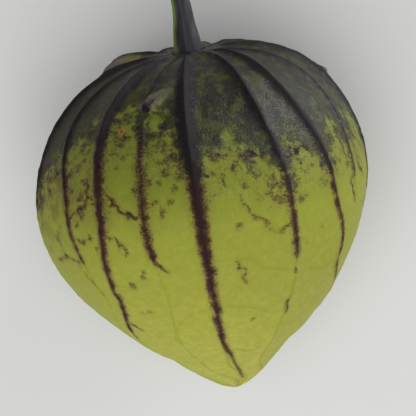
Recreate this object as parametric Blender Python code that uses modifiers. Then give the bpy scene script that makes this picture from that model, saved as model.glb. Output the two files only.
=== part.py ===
"""Tomatillo in its closed papery husk, with a short cut stalk, lying on its flank as picked.

The husk and the stalk are modelled in a growing frame: the stalk's seat is the zero point, +Z runs up
the stalk, the tip hangs below and -Y is the side shown to the viewer. An empty then lays the fruit down on
a small flat spot, so that the viewer's side faces up. The world's zero point is the middle of that spot.
"""

import math
from collections import namedtuple

import bmesh
import bpy
import numpy as np
from mathutils import Vector

MM = 0.001

# The husk's outline: a round crown above the widest ring, and a taper to a blunt beak below it
HUSK_RADIUS = 23.15 * MM
SHOULDER_RISE = 21.2 * MM
CROWN_SLOPE = 1.1
TAPER_LENGTH = 29.9 * MM
TAPER_FULLNESS = 0.82
DIMPLE_DEPTH = 2.7 * MM
DIMPLE_REACH = 12.0 * MM
WIDEST_DEPTH = SHOULDER_RISE - DIMPLE_DEPTH
HUSK_LENGTH = WIDEST_DEPTH + TAPER_LENGTH
BOW = 1.15 * MM
TIP_SHIFT = 0.4 * MM
SHOULDER_TILT = 0.3 * MM

# The ribs: each runs from the stalk to the tip through four angles, in degrees from the viewer's side,
# growing to the right. The angles are those at the four depths of RIB_KNOTS.
Rib = namedtuple("Rib", "main shoulder waist low beak")
RIB_KNOTS = (3.0 * MM, 18.0 * MM, 29.0 * MM, 40.0 * MM)
RIBS = (
    Rib(True, -82.0, -75.0, -79.0, -88.0),
    Rib(False, -67.0, -51.5, -47.0, -67.0),
    Rib(True, -41.0, -35.5, -39.5, -57.0),
    Rib(False, -22.0, -20.0, -18.5, -26.0),
    Rib(True, -4.0, -1.5, -1.0, -1.5),
    Rib(True, 25.0, 29.5, 32.0, 31.0),
    Rib(True, 41.5, 48.5, 57.5, 86.0),
    Rib(False, 71.0, 64.0, 71.0, 101.0),
    Rib(True, 93.0, 88.0, 94.0, 115.0),
    Rib(False, 110.0, 106.0, 110.0, 127.0),
    Rib(True, 129.0, 126.0, 130.0, 139.0),
    Rib(False, 144.0, 146.0, 149.0, 151.0),
    Rib(True, 163.0, 165.0, 166.0, 167.0),
    Rib(False, 182.0, 184.0, 183.0, 186.0),
    Rib(True, 201.0, 203.0, 199.0, 206.0),
    Rib(False, 215.0, 217.0, 216.0, 222.0),
    Rib(True, 231.0, 234.0, 234.0, 240.0),
    Rib(False, 254.0, 259.0, 257.0, 256.0),
)
PLEAT_SPREAD = 8.0
PLEAT_SHARPNESS = 1.15
SHOULDER_PLEAT = 0.95 * MM
WAIST_PLEAT = 0.25 * MM
SECOND_RIB_SHARE = 0.5
PLEAT_MEAN_SHARE = 0.75
CORD_HEIGHT = 0.28 * MM
CORD_HALF_WIDTH = 0.75 * MM
CROWN_FADE = (3.0 * MM, 7.0 * MM)
BEAK_FADE = (1.5 * MM, 9.0 * MM)

# The shoulder's auricles: small hooks with a long upper side, the ramp, and a steep lower one
Auricle = namedtuple("Auricle", "angle depth height half_width ramp")
AURICLES = (
    Auricle(-21.0, 4.4 * MM, 1.1 * MM, 1.7 * MM, 3.2 * MM),
    Auricle(97.0, 6.3 * MM, 1.1 * MM, 1.0 * MM, 1.6 * MM),
    Auricle(163.0, 5.0 * MM, 0.9 * MM, 1.5 * MM, 2.6 * MM),
    Auricle(201.0, 5.6 * MM, 0.8 * MM, 1.2 * MM, 2.0 * MM),
    Auricle(239.0, 2.0 * MM, 1.5 * MM, 3.0 * MM, 4.5 * MM),
)
AURICLE_DROP = 1.0 * MM
CROWN_ARC = 34.0 * MM

# The beak, where five lobes close on each other with a slight twist
LOBES = 5
LOBE_GROOVE = 0.3 * MM
LOBE_REACH = 4.5 * MM
LOBE_TWIST = 30.0
BEAK_TWIST = 45.0
TWIST_REACH = 5.5 * MM
BEAK_WAIST_DEPTH = 6.2 * MM
BEAK_WAIST_REACH = 1.4 * MM
BEAK_WAIST = 0.35 * MM

# The mesh of the husk
COLUMNS_PER_GAP = 6
COLUMN_DRAW = 0.55
CROWN_RINGS = 21
TAPER_RINGS = 24
TIP_CROWDING = 1.3

# The stalk and the plain socket in the dimple that it stands in
SOCKET_RADIUS = 2.4 * MM
SOCKET_DEPTH = 1.2 * MM
FIT_GAP = 0.3 * MM
STALK_LENGTH = 14.0 * MM
STALK_RADIUS = 1.1 * MM
STALK_FLARE = 1.0 * MM
FLARE_REACH = 4.8 * MM
FLARE_SHARPNESS = 1.3
STALK_BEND = 1.6 * MM
STALK_DROOP = 0.6 * MM
BEND_START = 5.0 * MM
STALK_POINTS = 14
STALK_SIDES_RESOLUTION = 4

# The way it lies: the stalk is a little higher than the tip, and the back rests on a flat spot
STALK_RAISE = math.radians(7.0)
FLAT_DEPTH = 0.8 * MM

SMOOTH_ANGLE = math.radians(50.0)


def smooth_step(value, start, end):
    """Rises smoothly from 0 at the start to 1 at the end."""
    part = np.clip((value - start) / (end - start), 0.0, 1.0)
    return part * part * (3.0 - 2.0 * part)


def outline(run):
    """Radius and depth of the bare husk: run is -1 at the seat, 0 at the widest ring and 1 at the tip."""
    lean = (1.0 + np.minimum(run, 0.0)) * math.pi / 2
    crown_radius = HUSK_RADIUS * np.sin(lean)
    dimple = DIMPLE_DEPTH * np.exp(-((crown_radius / DIMPLE_REACH) ** 2))
    crown_rise = SHOULDER_RISE * np.maximum(np.cos(lean), 0.0) ** CROWN_SLOPE
    crown_depth = WIDEST_DEPTH - crown_rise + dimple
    fall = np.clip(run, 0.0, 1.0)
    taper_radius = HUSK_RADIUS * np.maximum(np.cos(math.pi / 2 * fall), 0.0) ** TAPER_FULLNESS
    taper_depth = WIDEST_DEPTH + TAPER_LENGTH * fall
    on_crown = run < 0.0
    return np.where(on_crown, crown_radius, taper_radius), np.where(on_crown, crown_depth, taper_depth)


def run_of(radius, depth):
    """The run of a point that lies on the bare outline."""
    crown = np.arcsin(np.clip(radius / HUSK_RADIUS, 0.0, 1.0)) * 2 / math.pi - 1.0
    taper = (depth - WIDEST_DEPTH) / TAPER_LENGTH
    return np.where(depth < WIDEST_DEPTH, crown, taper)


def outline_normal(run):
    """Outward and downward parts of the outline's unit normal."""
    step = 0.002
    near = np.clip(run - step, -1.0, 1.0)
    far = np.clip(run + step, -1.0, 1.0)
    radius_near, depth_near = outline(near)
    radius_far, depth_far = outline(far)
    length = np.hypot(radius_far - radius_near, depth_far - depth_near)
    return (depth_far - depth_near) / length, (radius_near - radius_far) / length


def bow(depth):
    """Sideways shift of the husk's axis: it bends a little to the left, and so does its tip."""
    part = np.clip(depth / HUSK_LENGTH, 0.0, 1.0)
    return -TIP_SHIFT * part**4 - BOW * np.sin(math.pi * part)


def rib_angle(rib, depth):
    """Angle of a rib at a depth, blended smoothly between its four knots and twisted at the beak."""
    angle = np.full_like(depth, rib.shoulder)
    stations = (rib.shoulder, rib.waist, rib.low, rib.beak)
    for first, last, start, end in zip(stations, stations[1:], RIB_KNOTS, RIB_KNOTS[1:]):
        angle = angle + (last - first) * smooth_step(depth, start, end)
    return angle + BEAK_TWIST * smooth_step(depth, HUSK_LENGTH - TWIST_REACH, HUSK_LENGTH)


def pleat_height(run):
    """How far the skin is drawn out at a main rib: most on the shoulder, least near the tip."""
    shoulder = np.exp(-(((run + 0.5) / 0.36) ** 2))
    low = 1.0 - 0.5 * smooth_step(run, 0.0, 0.8)
    return SHOULDER_PLEAT * shoulder + WAIST_PLEAT * low


def rib_relief(angle, radius, depth, run):
    """Height of the pleats and of the cords along the ribs, over the bare outline."""
    relief = -PLEAT_MEAN_SHARE * pleat_height(run)
    for rib in RIBS:
        off = np.abs((angle - rib_angle(rib, depth) + 180.0) % 360.0 - 180.0)
        across = np.radians(off) * radius
        share = 1.0 if rib.main else SECOND_RIB_SHARE
        pleat = pleat_height(run) * np.exp(-((off / PLEAT_SPREAD) ** PLEAT_SHARPNESS))
        cord = CORD_HEIGHT * np.exp(-((across / CORD_HALF_WIDTH) ** 2))
        relief = relief + share * (pleat + cord)
    crown = smooth_step(radius, *CROWN_FADE)
    beak = smooth_step(HUSK_LENGTH - depth, *BEAK_FADE)
    return relief * crown * np.where(run < 0.0, 1.0, beak)


def auricle_relief(angle, radius, run):
    """Height of the five hooks on the shoulder."""
    relief = np.zeros_like(angle)
    for auricle in AURICLES:
        off = (angle - auricle.angle + 180.0) % 360.0 - 180.0
        across = np.radians(off) * radius
        peak = run_at_depth(auricle.depth)
        along = (run - peak) * CROWN_ARC
        reach = np.where(along < 0.0, auricle.ramp, AURICLE_DROP)
        bump = np.exp(-((across / auricle.half_width) ** 2) - (along / reach) ** 2)
        relief = relief + auricle.height * bump
    return relief


def run_at_depth(depth):
    """The run at which the crown reaches a depth."""
    runs = np.linspace(-0.8, 0.0, 400)
    return float(np.interp(depth, outline(runs)[1], runs))


def beak_relief(angle, depth):
    """Grooves between the lobes at the tip, and the slight neck above it."""
    above = HUSK_LENGTH - depth
    turned = np.radians(angle + LOBE_TWIST * above / LOBE_REACH)
    grooves = LOBE_GROOVE * (np.cos(LOBES * turned) - 0.5) * np.exp(-((above / LOBE_REACH) ** 2))
    fade = smooth_step(above, 0.0, 1.0 * MM)
    neck = BEAK_WAIST * np.exp(-(((above - BEAK_WAIST_DEPTH) / BEAK_WAIST_REACH) ** 2))
    return grooves * fade - neck


def husk_surface(angle, run):
    """Points of the husk's skin, as an array of x, y and z, at angles in degrees and runs."""
    radius, depth = outline(run)
    out, down = outline_normal(run)
    relief = rib_relief(angle, radius, depth, run)
    relief = relief + auricle_relief(angle, radius, run)
    relief = relief + beak_relief(angle, depth)
    turn = np.radians(angle)
    lift = SHOULDER_TILT * np.sin(math.pi * (1.0 + np.minimum(run, 0.0))) * np.sin(turn)
    reach = radius + relief * out
    x = bow(depth) + reach * np.sin(turn)
    y = -reach * np.cos(turn)
    z = lift - depth - relief * down
    return np.stack([x, y, z], axis=-1)


def profile_points():
    """The husk's half section: up out of the socket, over the crown and down to the tip."""
    start = float(run_of(SOCKET_RADIUS, 0.0))
    crown = np.linspace(start, 0.0, CROWN_RINGS)
    even = np.linspace(0.0, 1.0, TAPER_RINGS + 1)[1:]
    taper = 1.0 - (1.0 - even) ** TIP_CROWDING
    radius, depth = outline(np.concatenate([crown, taper]))
    socket = [(0.0, SOCKET_DEPTH), (SOCKET_RADIUS, SOCKET_DEPTH)]
    return socket + list(zip(radius.tolist(), depth.tolist()))


def screwed_husk():
    """The bare husk as a mesh: its half section turned once about the stalk's axis."""
    points = profile_points()
    mesh = bpy.data.meshes.new("husk_section")
    edges = [(i, i + 1) for i in range(len(points) - 1)]
    mesh.from_pydata([(radius, 0.0, -depth) for radius, depth in points], edges, [])
    section = bpy.data.objects.new("husk_section", mesh)
    bpy.context.scene.collection.objects.link(section)
    screw = section.modifiers.new("turn", "SCREW")
    screw.steps = COLUMNS_PER_GAP * len(RIBS)
    screw.render_steps = screw.steps
    screw.use_merge_vertices = True
    screw.merge_threshold = 0.00001
    graph = bpy.context.evaluated_depsgraph_get()
    turned = bpy.data.meshes.new_from_object(section.evaluated_get(graph))
    bpy.data.objects.remove(section)
    bpy.data.meshes.remove(mesh)
    return turned


def column_angle(column, depth):
    """Angle of a column of the mesh at a depth: columns follow the ribs and crowd towards them."""
    gap = (column // COLUMNS_PER_GAP) % len(RIBS)
    part = (column % COLUMNS_PER_GAP) / COLUMNS_PER_GAP
    part = part - COLUMN_DRAW * np.sin(2 * math.pi * part) / (2 * math.pi)
    angles = np.array([rib_angle(rib, depth) for rib in RIBS])
    angles = np.vstack([angles, angles[:1] + 360.0])
    index = np.arange(len(depth))
    here = angles[gap, index]
    return here + part * (angles[gap + 1, index] - here)


def raise_relief(mesh):
    """Moves the turned mesh's points to the husk's skin, and leaves the socket plain and round."""
    points = np.array([vertex.co[:] for vertex in mesh.vertices])
    radius = np.hypot(points[:, 0], points[:, 1])
    depth = -points[:, 2]
    in_socket = (radius < SOCKET_RADIUS + FIT_GAP) & (depth < 2 * SOCKET_DEPTH)
    columns = COLUMNS_PER_GAP * len(RIBS)
    turn = np.degrees(np.arctan2(points[:, 1], points[:, 0])) % 360.0
    column = np.rint(turn * columns / 360.0).astype(int) % columns
    moved = husk_surface(column_angle(column, depth), run_of(radius, depth))
    turn = np.radians(column_angle(column, depth))
    plain = np.stack([radius * np.sin(turn), -radius * np.cos(turn), points[:, 2]], axis=-1)
    points = np.where(in_socket[:, None], plain, moved)
    mesh.vertices.foreach_set("co", points.ravel())
    mesh.update()


def down_direction():
    """The way down in the growing frame, once the fruit lies on its back."""
    return np.array([0.0, math.cos(STALK_RAISE), -math.sin(STALK_RAISE)])


def resting_point():
    """Middle of the flat spot in the growing frame."""
    runs = np.linspace(-0.5, 0.5, 1001)
    radius, depth = outline(runs)
    down = down_direction()
    lowest = int(np.argmax(radius * down[1] - depth * down[2]))
    touch = np.array([float(bow(depth[lowest])), radius[lowest], -depth[lowest]])
    return touch - down * FLAT_DEPTH


def flatten_rest(mesh):
    """Presses every point below the surface that the fruit lies on up to it."""
    points = np.array([vertex.co[:] for vertex in mesh.vertices])
    down = down_direction()
    below = np.maximum((points - resting_point()) @ down, 0.0)
    points = points - below[:, None] * down
    mesh.vertices.foreach_set("co", points.ravel())
    mesh.update()


def smooth_shade(mesh):
    """Round shading, with creases kept where the skin turns sharply."""
    mesh.shade_smooth()
    mesh.set_sharp_from_angle(angle=SMOOTH_ANGLE)


def make_material(name, colour, roughness):
    """A Principled material with one plain colour."""
    material = bpy.data.materials.new(name)
    material.use_nodes = True
    shader = material.node_tree.nodes["Principled BSDF"]
    shader.inputs["Base Color"].default_value = (*colour, 1.0)
    shader.inputs["Roughness"].default_value = roughness
    shader.inputs["Metallic"].default_value = 0.0
    return material


def make_husk(collection, lying):
    """The closed husk, one grown body, with its ribs, auricles and beak raised by formula."""
    mesh = screwed_husk()
    mesh.name = "husk"
    raise_relief(mesh)
    flatten_rest(mesh)
    triangles = bmesh.new()
    triangles.from_mesh(mesh)
    bmesh.ops.triangulate(triangles, faces=triangles.faces[:])
    triangles.to_mesh(mesh)
    triangles.free()
    smooth_shade(mesh)
    mesh.materials.append(make_material("husk_skin", (0.34, 0.38, 0.05), 0.6))
    husk = bpy.data.objects.new("husk", mesh)
    collection.objects.link(husk)
    husk.parent = lying
    return husk


def stalk_radius(height):
    """Radius of the stalk at a height above its seat: it flares into the husk."""
    spread = math.exp(-((max(height, 0.0) / FLARE_REACH) ** FLARE_SHARPNESS))
    return STALK_RADIUS + STALK_FLARE * spread


def make_stalk(collection, lying):
    """The cut stalk: a tapered tube from the socket to a plain cut end, with a slight bend."""
    curve = bpy.data.curves.new("stalk", "CURVE")
    curve.dimensions = "3D"
    curve.bevel_depth = 1.0
    curve.bevel_resolution = STALK_SIDES_RESOLUTION
    curve.use_fill_caps = True
    spline = curve.splines.new("POLY")
    spline.points.add(STALK_POINTS - 1)
    foot = FIT_GAP - SOCKET_DEPTH
    down = Vector(down_direction())
    for i, point in enumerate(spline.points):
        height = foot + (STALK_LENGTH - foot) * i / (STALK_POINTS - 1)
        bend = (max(height - BEND_START, 0.0) / (STALK_LENGTH - BEND_START)) ** 2
        place = Vector((-STALK_BEND * bend, 0.0, height)) + down * STALK_DROOP * bend
        point.co = (*place, 1.0)
        point.radius = stalk_radius(height)
    curve.materials.append(make_material("stalk_skin", (0.045, 0.035, 0.04), 0.45))
    stalk = bpy.data.objects.new("stalk", curve)
    collection.objects.link(stalk)
    stalk.parent = lying
    return stalk


def make_lying_frame(collection):
    """The empty that lays the growing frame down, with the flat spot's middle at the world's zero."""
    lying = bpy.data.objects.new("lying_frame", None)
    collection.objects.link(lying)
    lying.rotation_euler = (STALK_RAISE - math.pi / 2, 0.0, 0.0)
    turned = lying.rotation_euler.to_matrix() @ Vector(resting_point())
    lying.location = -turned
    return lying


def main():
    for old in list(bpy.data.objects):
        bpy.data.objects.remove(old)
    collection = bpy.data.collections.new("tomatillo")
    bpy.context.scene.collection.children.link(collection)
    lying = make_lying_frame(collection)
    make_husk(collection, lying)
    make_stalk(collection, lying)
    bpy.context.view_layer.update()


main()
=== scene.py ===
"""The looks of a tomatillo in its closed papery husk, lying on its flank with a short cut stalk.

Every piece is shaped in the growing frame: the stalk's seat is the zero point, +Z runs up the stalk and
the tip hangs below. Angles are in degrees from the side shown to the viewer, growing to the right, and
depths are measured down from the seat. Sizes are in metres: a figure in millimetres is multiplied by MM
where it stands, or where its table is read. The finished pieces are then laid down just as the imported
frame has them.
"""

import logging
import math
from dataclasses import dataclass, field
from enum import Enum
from typing import Any, Iterator, Optional, Sequence, Union

import bpy
import numpy as np
from mathutils import Matrix, Vector, kdtree


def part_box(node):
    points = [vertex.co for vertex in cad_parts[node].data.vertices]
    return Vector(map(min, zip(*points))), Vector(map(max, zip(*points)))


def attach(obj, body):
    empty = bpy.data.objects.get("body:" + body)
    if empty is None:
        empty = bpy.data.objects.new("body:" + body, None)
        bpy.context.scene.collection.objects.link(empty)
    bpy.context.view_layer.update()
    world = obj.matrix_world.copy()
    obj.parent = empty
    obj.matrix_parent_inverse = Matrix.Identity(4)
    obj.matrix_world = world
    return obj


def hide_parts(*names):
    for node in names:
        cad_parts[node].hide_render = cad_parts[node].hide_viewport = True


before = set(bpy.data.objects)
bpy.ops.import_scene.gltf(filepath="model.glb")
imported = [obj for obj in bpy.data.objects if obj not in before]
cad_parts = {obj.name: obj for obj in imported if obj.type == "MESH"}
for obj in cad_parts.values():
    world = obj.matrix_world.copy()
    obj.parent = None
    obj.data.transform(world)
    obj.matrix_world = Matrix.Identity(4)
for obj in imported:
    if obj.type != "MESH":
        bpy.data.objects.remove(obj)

MM = 0.001
PHOTO_SIDE = 416

log = logging.getLogger("tomatillo")

Array = np.ndarray
Pair = tuple[float, float]
Colour = tuple[float, float, float]
Stops = tuple[tuple[float, Colour], ...]


def smooth_step(value: Array, start: float, end: float) -> Array:
    """Rises smoothly from 0 at the start to 1 at the end.

    Args:
        value: The numbers to judge.
        start: Where the rise begins.
        end: Where it is complete.

    Returns:
        Numbers from 0 to 1, one for each value.
    """
    part = np.clip((value - start) / (end - start), 0.0, 1.0)
    return part * part * (3.0 - 2.0 * part)


def bell(value: Array, width: float) -> Array:
    """A bell curve of height 1 that falls to 37% at the width."""
    return np.exp(-((value / width) ** 2))


def turn_between(angle: Array, other: Array) -> Array:
    """The signed turn from the other angle to the angle, in degrees, from -180 to 180."""
    return (angle - other + 180.0) % 360.0 - 180.0


def ripples(points: Array, wavelength: float, seed: int, waves: int = 24) -> Array:
    """Smooth random swells, made of plane waves in random directions.

    Args:
        points: Places, as rows of x, y and z.
        wavelength: Distance from crest to crest.
        seed: Seed of the random draw.
        waves: How many waves are added up.

    Returns:
        A height for each place, with a spread of about 1.
    """
    draw = np.random.default_rng(seed)
    directions = draw.normal(size=(waves, 3))
    directions /= np.linalg.norm(directions, axis=1)[:, None]
    lengths = wavelength * draw.uniform(0.75, 1.4, waves)
    phases = draw.uniform(0.0, 2.0 * math.pi, waves)
    turns = points @ (directions * (2.0 * math.pi / lengths)[:, None]).T + phases
    return np.cos(turns).sum(axis=1) * math.sqrt(2.0 / waves)


def deselect_all() -> None:
    """Leaves nothing selected, in object mode."""
    if bpy.context.object and bpy.context.object.mode != "OBJECT":
        bpy.ops.object.mode_set(mode="OBJECT")
    bpy.ops.object.select_all(action="DESELECT")


def places_of(mesh: bpy.types.Mesh) -> Array:
    """The places of a mesh's vertices, as rows of x, y and z."""
    return np.array([vertex.co[:] for vertex in mesh.vertices])


def mark(mesh: bpy.types.Mesh, name: str, values: Array) -> None:
    """Stores a number for each vertex under a name that the piece's material reads."""
    layer = mesh.attributes.new(name, "FLOAT", "POINT")
    layer.data.foreach_set("value", np.asarray(values, dtype=np.float32))


class Tone(Enum):
    """The colour that a vein of the husk shows."""

    PURPLE = "purple"
    GREEN = "green"


@dataclass(frozen=True)
class Rib:
    """A rib that runs from the stalk to the tip.

    The angles are those at the four depths of HuskForm.rib_knots. The dark line along it has the half
    widths given, in millimetres, at the depths of Markings.dark_knots, and it fades out at dark_end.
    """

    main: bool
    angles: tuple[float, float, float, float]
    dark: tuple[float, float, float, float, float]
    dark_end: float


@dataclass(frozen=True)
class Auricle:
    """A small hook on the shoulder, with a long upper side, the ramp, and a steep lower one.

    The ramp leans to the right by the lean, in degrees for each millimetre above the hook's tip.
    """

    angle: float
    depth: float
    height: float
    half_width: float
    ramp: float
    droop: float
    lean: float = 0.0


@dataclass(frozen=True)
class Vein:
    """A side vein through points of (angle in degrees, depth in millimetres).

    Its uneven share is 1 for a vein that wanders and swells, and 0 for an even line.
    """

    tone: Tone
    half_width: float
    route: tuple[Pair, ...]
    uneven: float = 1.0


@dataclass(frozen=True)
class Spot:
    """A round purple spot at an angle and a depth, with its radius, both in millimetres."""

    angle: float
    depth: float
    radius: float


@dataclass(frozen=True)
class Spread:
    """A random figure: the least it can be, how much more it can be, and how it crowds to the least."""

    least: float
    more: float
    crowding: float = 1.0

    def draw(self, chance: np.random.Generator) -> float:
        """The next such figure."""
        return self.least + self.more * chance.random() ** self.crowding


RIBS = (
    Rib(True, (-82.0, -75.0, -79.0, -88.0), (0.6, 0.3, 0.14, 0.08, 0.05), 20.0),
    Rib(False, (-67.0, -51.5, -47.0, -67.0), (0.5, 0.46, 0.22, 0.05, 0.03), 26.0),
    Rib(True, (-41.0, -35.5, -39.5, -57.0), (0.95, 0.7, 0.4, 0.28, 0.34), 37.6),
    Rib(False, (-22.0, -20.0, -18.5, -26.0), (0.24, 0.38, 0.43, 0.22, 0.1), 25.6),
    Rib(True, (-4.0, -1.5, -1.0, -1.5), (1.15, 1.0, 0.72, 0.42, 0.33), 39.0),
    Rib(True, (25.0, 29.5, 32.0, 31.0), (0.4, 0.36, 0.36, 0.2, 0.08), 28.6),
    Rib(True, (41.5, 48.5, 57.5, 86.0), (0.8, 0.48, 0.3, 0.22, 0.12), 35.0),
    Rib(False, (71.0, 64.0, 71.0, 101.0), (0.4, 0.3, 0.2, 0.1, 0.1), 20.0),
    Rib(True, (93.0, 88.0, 94.0, 115.0), (0.8, 0.6, 0.42, 0.3, 0.2), 33.0),
    Rib(False, (110.0, 106.0, 110.0, 127.0), (0.45, 0.34, 0.26, 0.16, 0.1), 23.0),
    Rib(True, (129.0, 126.0, 130.0, 139.0), (0.85, 0.7, 0.55, 0.42, 0.34), 41.0),
    Rib(False, (144.0, 146.0, 149.0, 151.0), (0.35, 0.3, 0.25, 0.15, 0.1), 21.0),
    Rib(True, (163.0, 165.0, 166.0, 167.0), (0.8, 0.6, 0.48, 0.34, 0.26), 36.0),
    Rib(False, (182.0, 184.0, 183.0, 186.0), (0.4, 0.34, 0.28, 0.18, 0.1), 26.0),
    Rib(True, (201.0, 203.0, 199.0, 206.0), (0.9, 0.76, 0.6, 0.45, 0.34), 44.0),
    Rib(False, (215.0, 217.0, 216.0, 222.0), (0.35, 0.3, 0.22, 0.12, 0.1), 19.0),
    Rib(True, (231.0, 234.0, 234.0, 240.0), (0.75, 0.58, 0.44, 0.3, 0.2), 34.0),
    Rib(False, (254.0, 259.0, 257.0, 256.0), (0.35, 0.24, 0.18, 0.13, 0.06), 26.0),
)

AURICLES = (
    Auricle(-21.0, 4.4 * MM, 1.1 * MM, 1.7 * MM, 3.2 * MM, 0.7 * MM, 3.0),
    Auricle(97.0, 6.3 * MM, 1.1 * MM, 1.0 * MM, 1.6 * MM, 0.4 * MM),
    Auricle(163.0, 5.0 * MM, 0.9 * MM, 1.5 * MM, 2.6 * MM, 0.5 * MM),
    Auricle(201.0, 5.6 * MM, 0.8 * MM, 1.2 * MM, 2.0 * MM, 0.4 * MM),
    Auricle(239.0, 2.0 * MM, 1.5 * MM, 3.0 * MM, 4.5 * MM, 0.0),
)

# The side veins on the side shown to the viewer, roughly from left to right
DRAWN_VEINS = (
    Vein(Tone.PURPLE, 0.2, ((-67.5, 24.7), (-62.0, 24.4), (-58.0, 23.6), (-55.5, 24.0), (-51.0, 23.9))),
    Vein(Tone.PURPLE, 0.14, ((-58.0, 23.6), (-60.0, 21.4), (-58.0, 19.6))),
    Vein(Tone.PURPLE, 0.3, ((-51.0, 17.8), (-47.5, 17.2), (-45.0, 16.8), (-41.5, 15.2), (-42.0, 13.2))),
    Vein(Tone.PURPLE, 0.2, ((-41.5, 15.2), (-38.5, 15.5), (-36.0, 15.0))),
    Vein(Tone.PURPLE, 0.16, ((-48.0, 21.0), (-46.5, 21.2), (-44.5, 20.9))),
    Vein(Tone.PURPLE, 0.12, ((-52.0, 24.5), (-50.0, 26.4), (-48.8, 27.3), (-47.0, 29.0))),
    Vein(Tone.PURPLE, 0.42, ((-36.0, 15.0), (-33.0, 15.2), (-30.5, 15.9), (-28.0, 16.8), (-25.5, 17.5),
                             (-22.5, 18.0), (-20.3, 17.4)), 0.5),
    Vein(Tone.PURPLE, 0.2, ((-20.0, 16.3), (-17.5, 16.4), (-15.0, 16.2), (-13.2, 17.1), (-13.5, 18.2))),
    Vein(Tone.PURPLE, 0.22, ((-37.0, 19.8), (-34.0, 20.3), (-31.5, 20.8), (-29.0, 21.6), (-28.0, 23.0))),
    Vein(Tone.PURPLE, 0.26, ((-20.0, 23.1), (-18.8, 24.1), (-17.8, 25.0), (-16.0, 25.6))),
    Vein(Tone.GREEN, 0.2, ((-16.0, 25.6), (-13.5, 25.7), (-10.0, 24.7), (-8.0, 23.6), (-2.0, 22.2))),
    Vein(Tone.GREEN, 0.2, ((-20.0, 23.4), (-21.5, 24.2), (-23.5, 25.8), (-26.0, 26.8), (-31.0, 27.6),
                           (-38.0, 27.4))),
    Vein(Tone.PURPLE, 0.15, ((-45.5, 33.2), (-44.2, 34.2), (-42.0, 35.3))),
    Vein(Tone.PURPLE, 0.42, ((-1.8, 36.8), (-0.5, 38.9), (1.5, 40.4), (2.6, 41.4)), 0.2),
    Vein(Tone.PURPLE, 0.12, ((2.0, 40.9), (4.0, 42.6), (7.5, 43.9), (13.5, 45.5), (23.0, 46.6)), 0.2),
    Vein(Tone.PURPLE, 0.3, ((11.0, 13.4), (12.0, 12.5), (14.5, 12.0), (17.5, 11.8), (21.0, 12.2),
                            (23.5, 13.2))),
    Vein(Tone.PURPLE, 0.14, ((18.0, 13.4), (19.2, 14.0), (20.2, 14.8))),
    Vein(Tone.PURPLE, 0.16, ((6.6, 13.8), (7.4, 14.4), (8.0, 15.2))),
    Vein(Tone.PURPLE, 0.1, ((14.0, 15.6), (13.4, 16.8), (13.0, 18.0), (15.5, 19.5), (17.5, 20.2),
                            (20.0, 21.2), (23.0, 22.5), (26.5, 22.5), (29.5, 21.4))),
    Vein(Tone.PURPLE, 0.25, ((30.0, 12.8), (33.5, 13.4), (37.5, 12.6), (42.5, 13.1), (47.0, 12.2))),
    Vein(Tone.PURPLE, 0.25, ((60.0, 13.6), (60.0, 16.0), (64.0, 18.0), (61.5, 19.2), (63.5, 22.2))),
    Vein(Tone.PURPLE, 0.22, ((70.5, 13.6), (70.0, 17.3), (74.0, 19.6))),
    Vein(Tone.PURPLE, 0.13, ((9.0, 25.7), (9.6, 26.5), (11.6, 26.9), (11.5, 28.0), (11.8, 29.2))),
    Vein(Tone.PURPLE, 0.16, ((32.2, 32.6), (31.0, 33.8), (32.6, 35.2))),
    Vein(Tone.GREEN, 0.2, ((33.0, 29.0), (32.6, 31.0), (31.6, 33.4))),
    Vein(Tone.GREEN, 0.18, ((-1.0, 25.0), (8.0, 25.2), (15.0, 26.0), (20.0, 27.5), (32.5, 28.8),
                            (46.0, 29.8), (57.0, 29.2))),
    Vein(Tone.GREEN, 0.18, ((-0.8, 31.8), (7.0, 32.4), (15.0, 33.2), (25.0, 34.6), (31.5, 34.4))),
    Vein(Tone.GREEN, 0.18, ((-1.0, 31.6), (-6.0, 32.2), (-13.0, 32.9), (-21.0, 34.7), (-26.5, 37.0))),
    Vein(Tone.GREEN, 0.15, ((43.0, 36.6), (42.0, 38.0), (41.0, 39.6))),
    Vein(Tone.GREEN, 0.15, ((-1.4, 39.6), (6.0, 40.0), (14.0, 40.8), (24.0, 40.4))),
    Vein(Tone.GREEN, 0.14, ((46.0, 29.8), (47.0, 25.0), (42.0, 21.0))),
)

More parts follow.
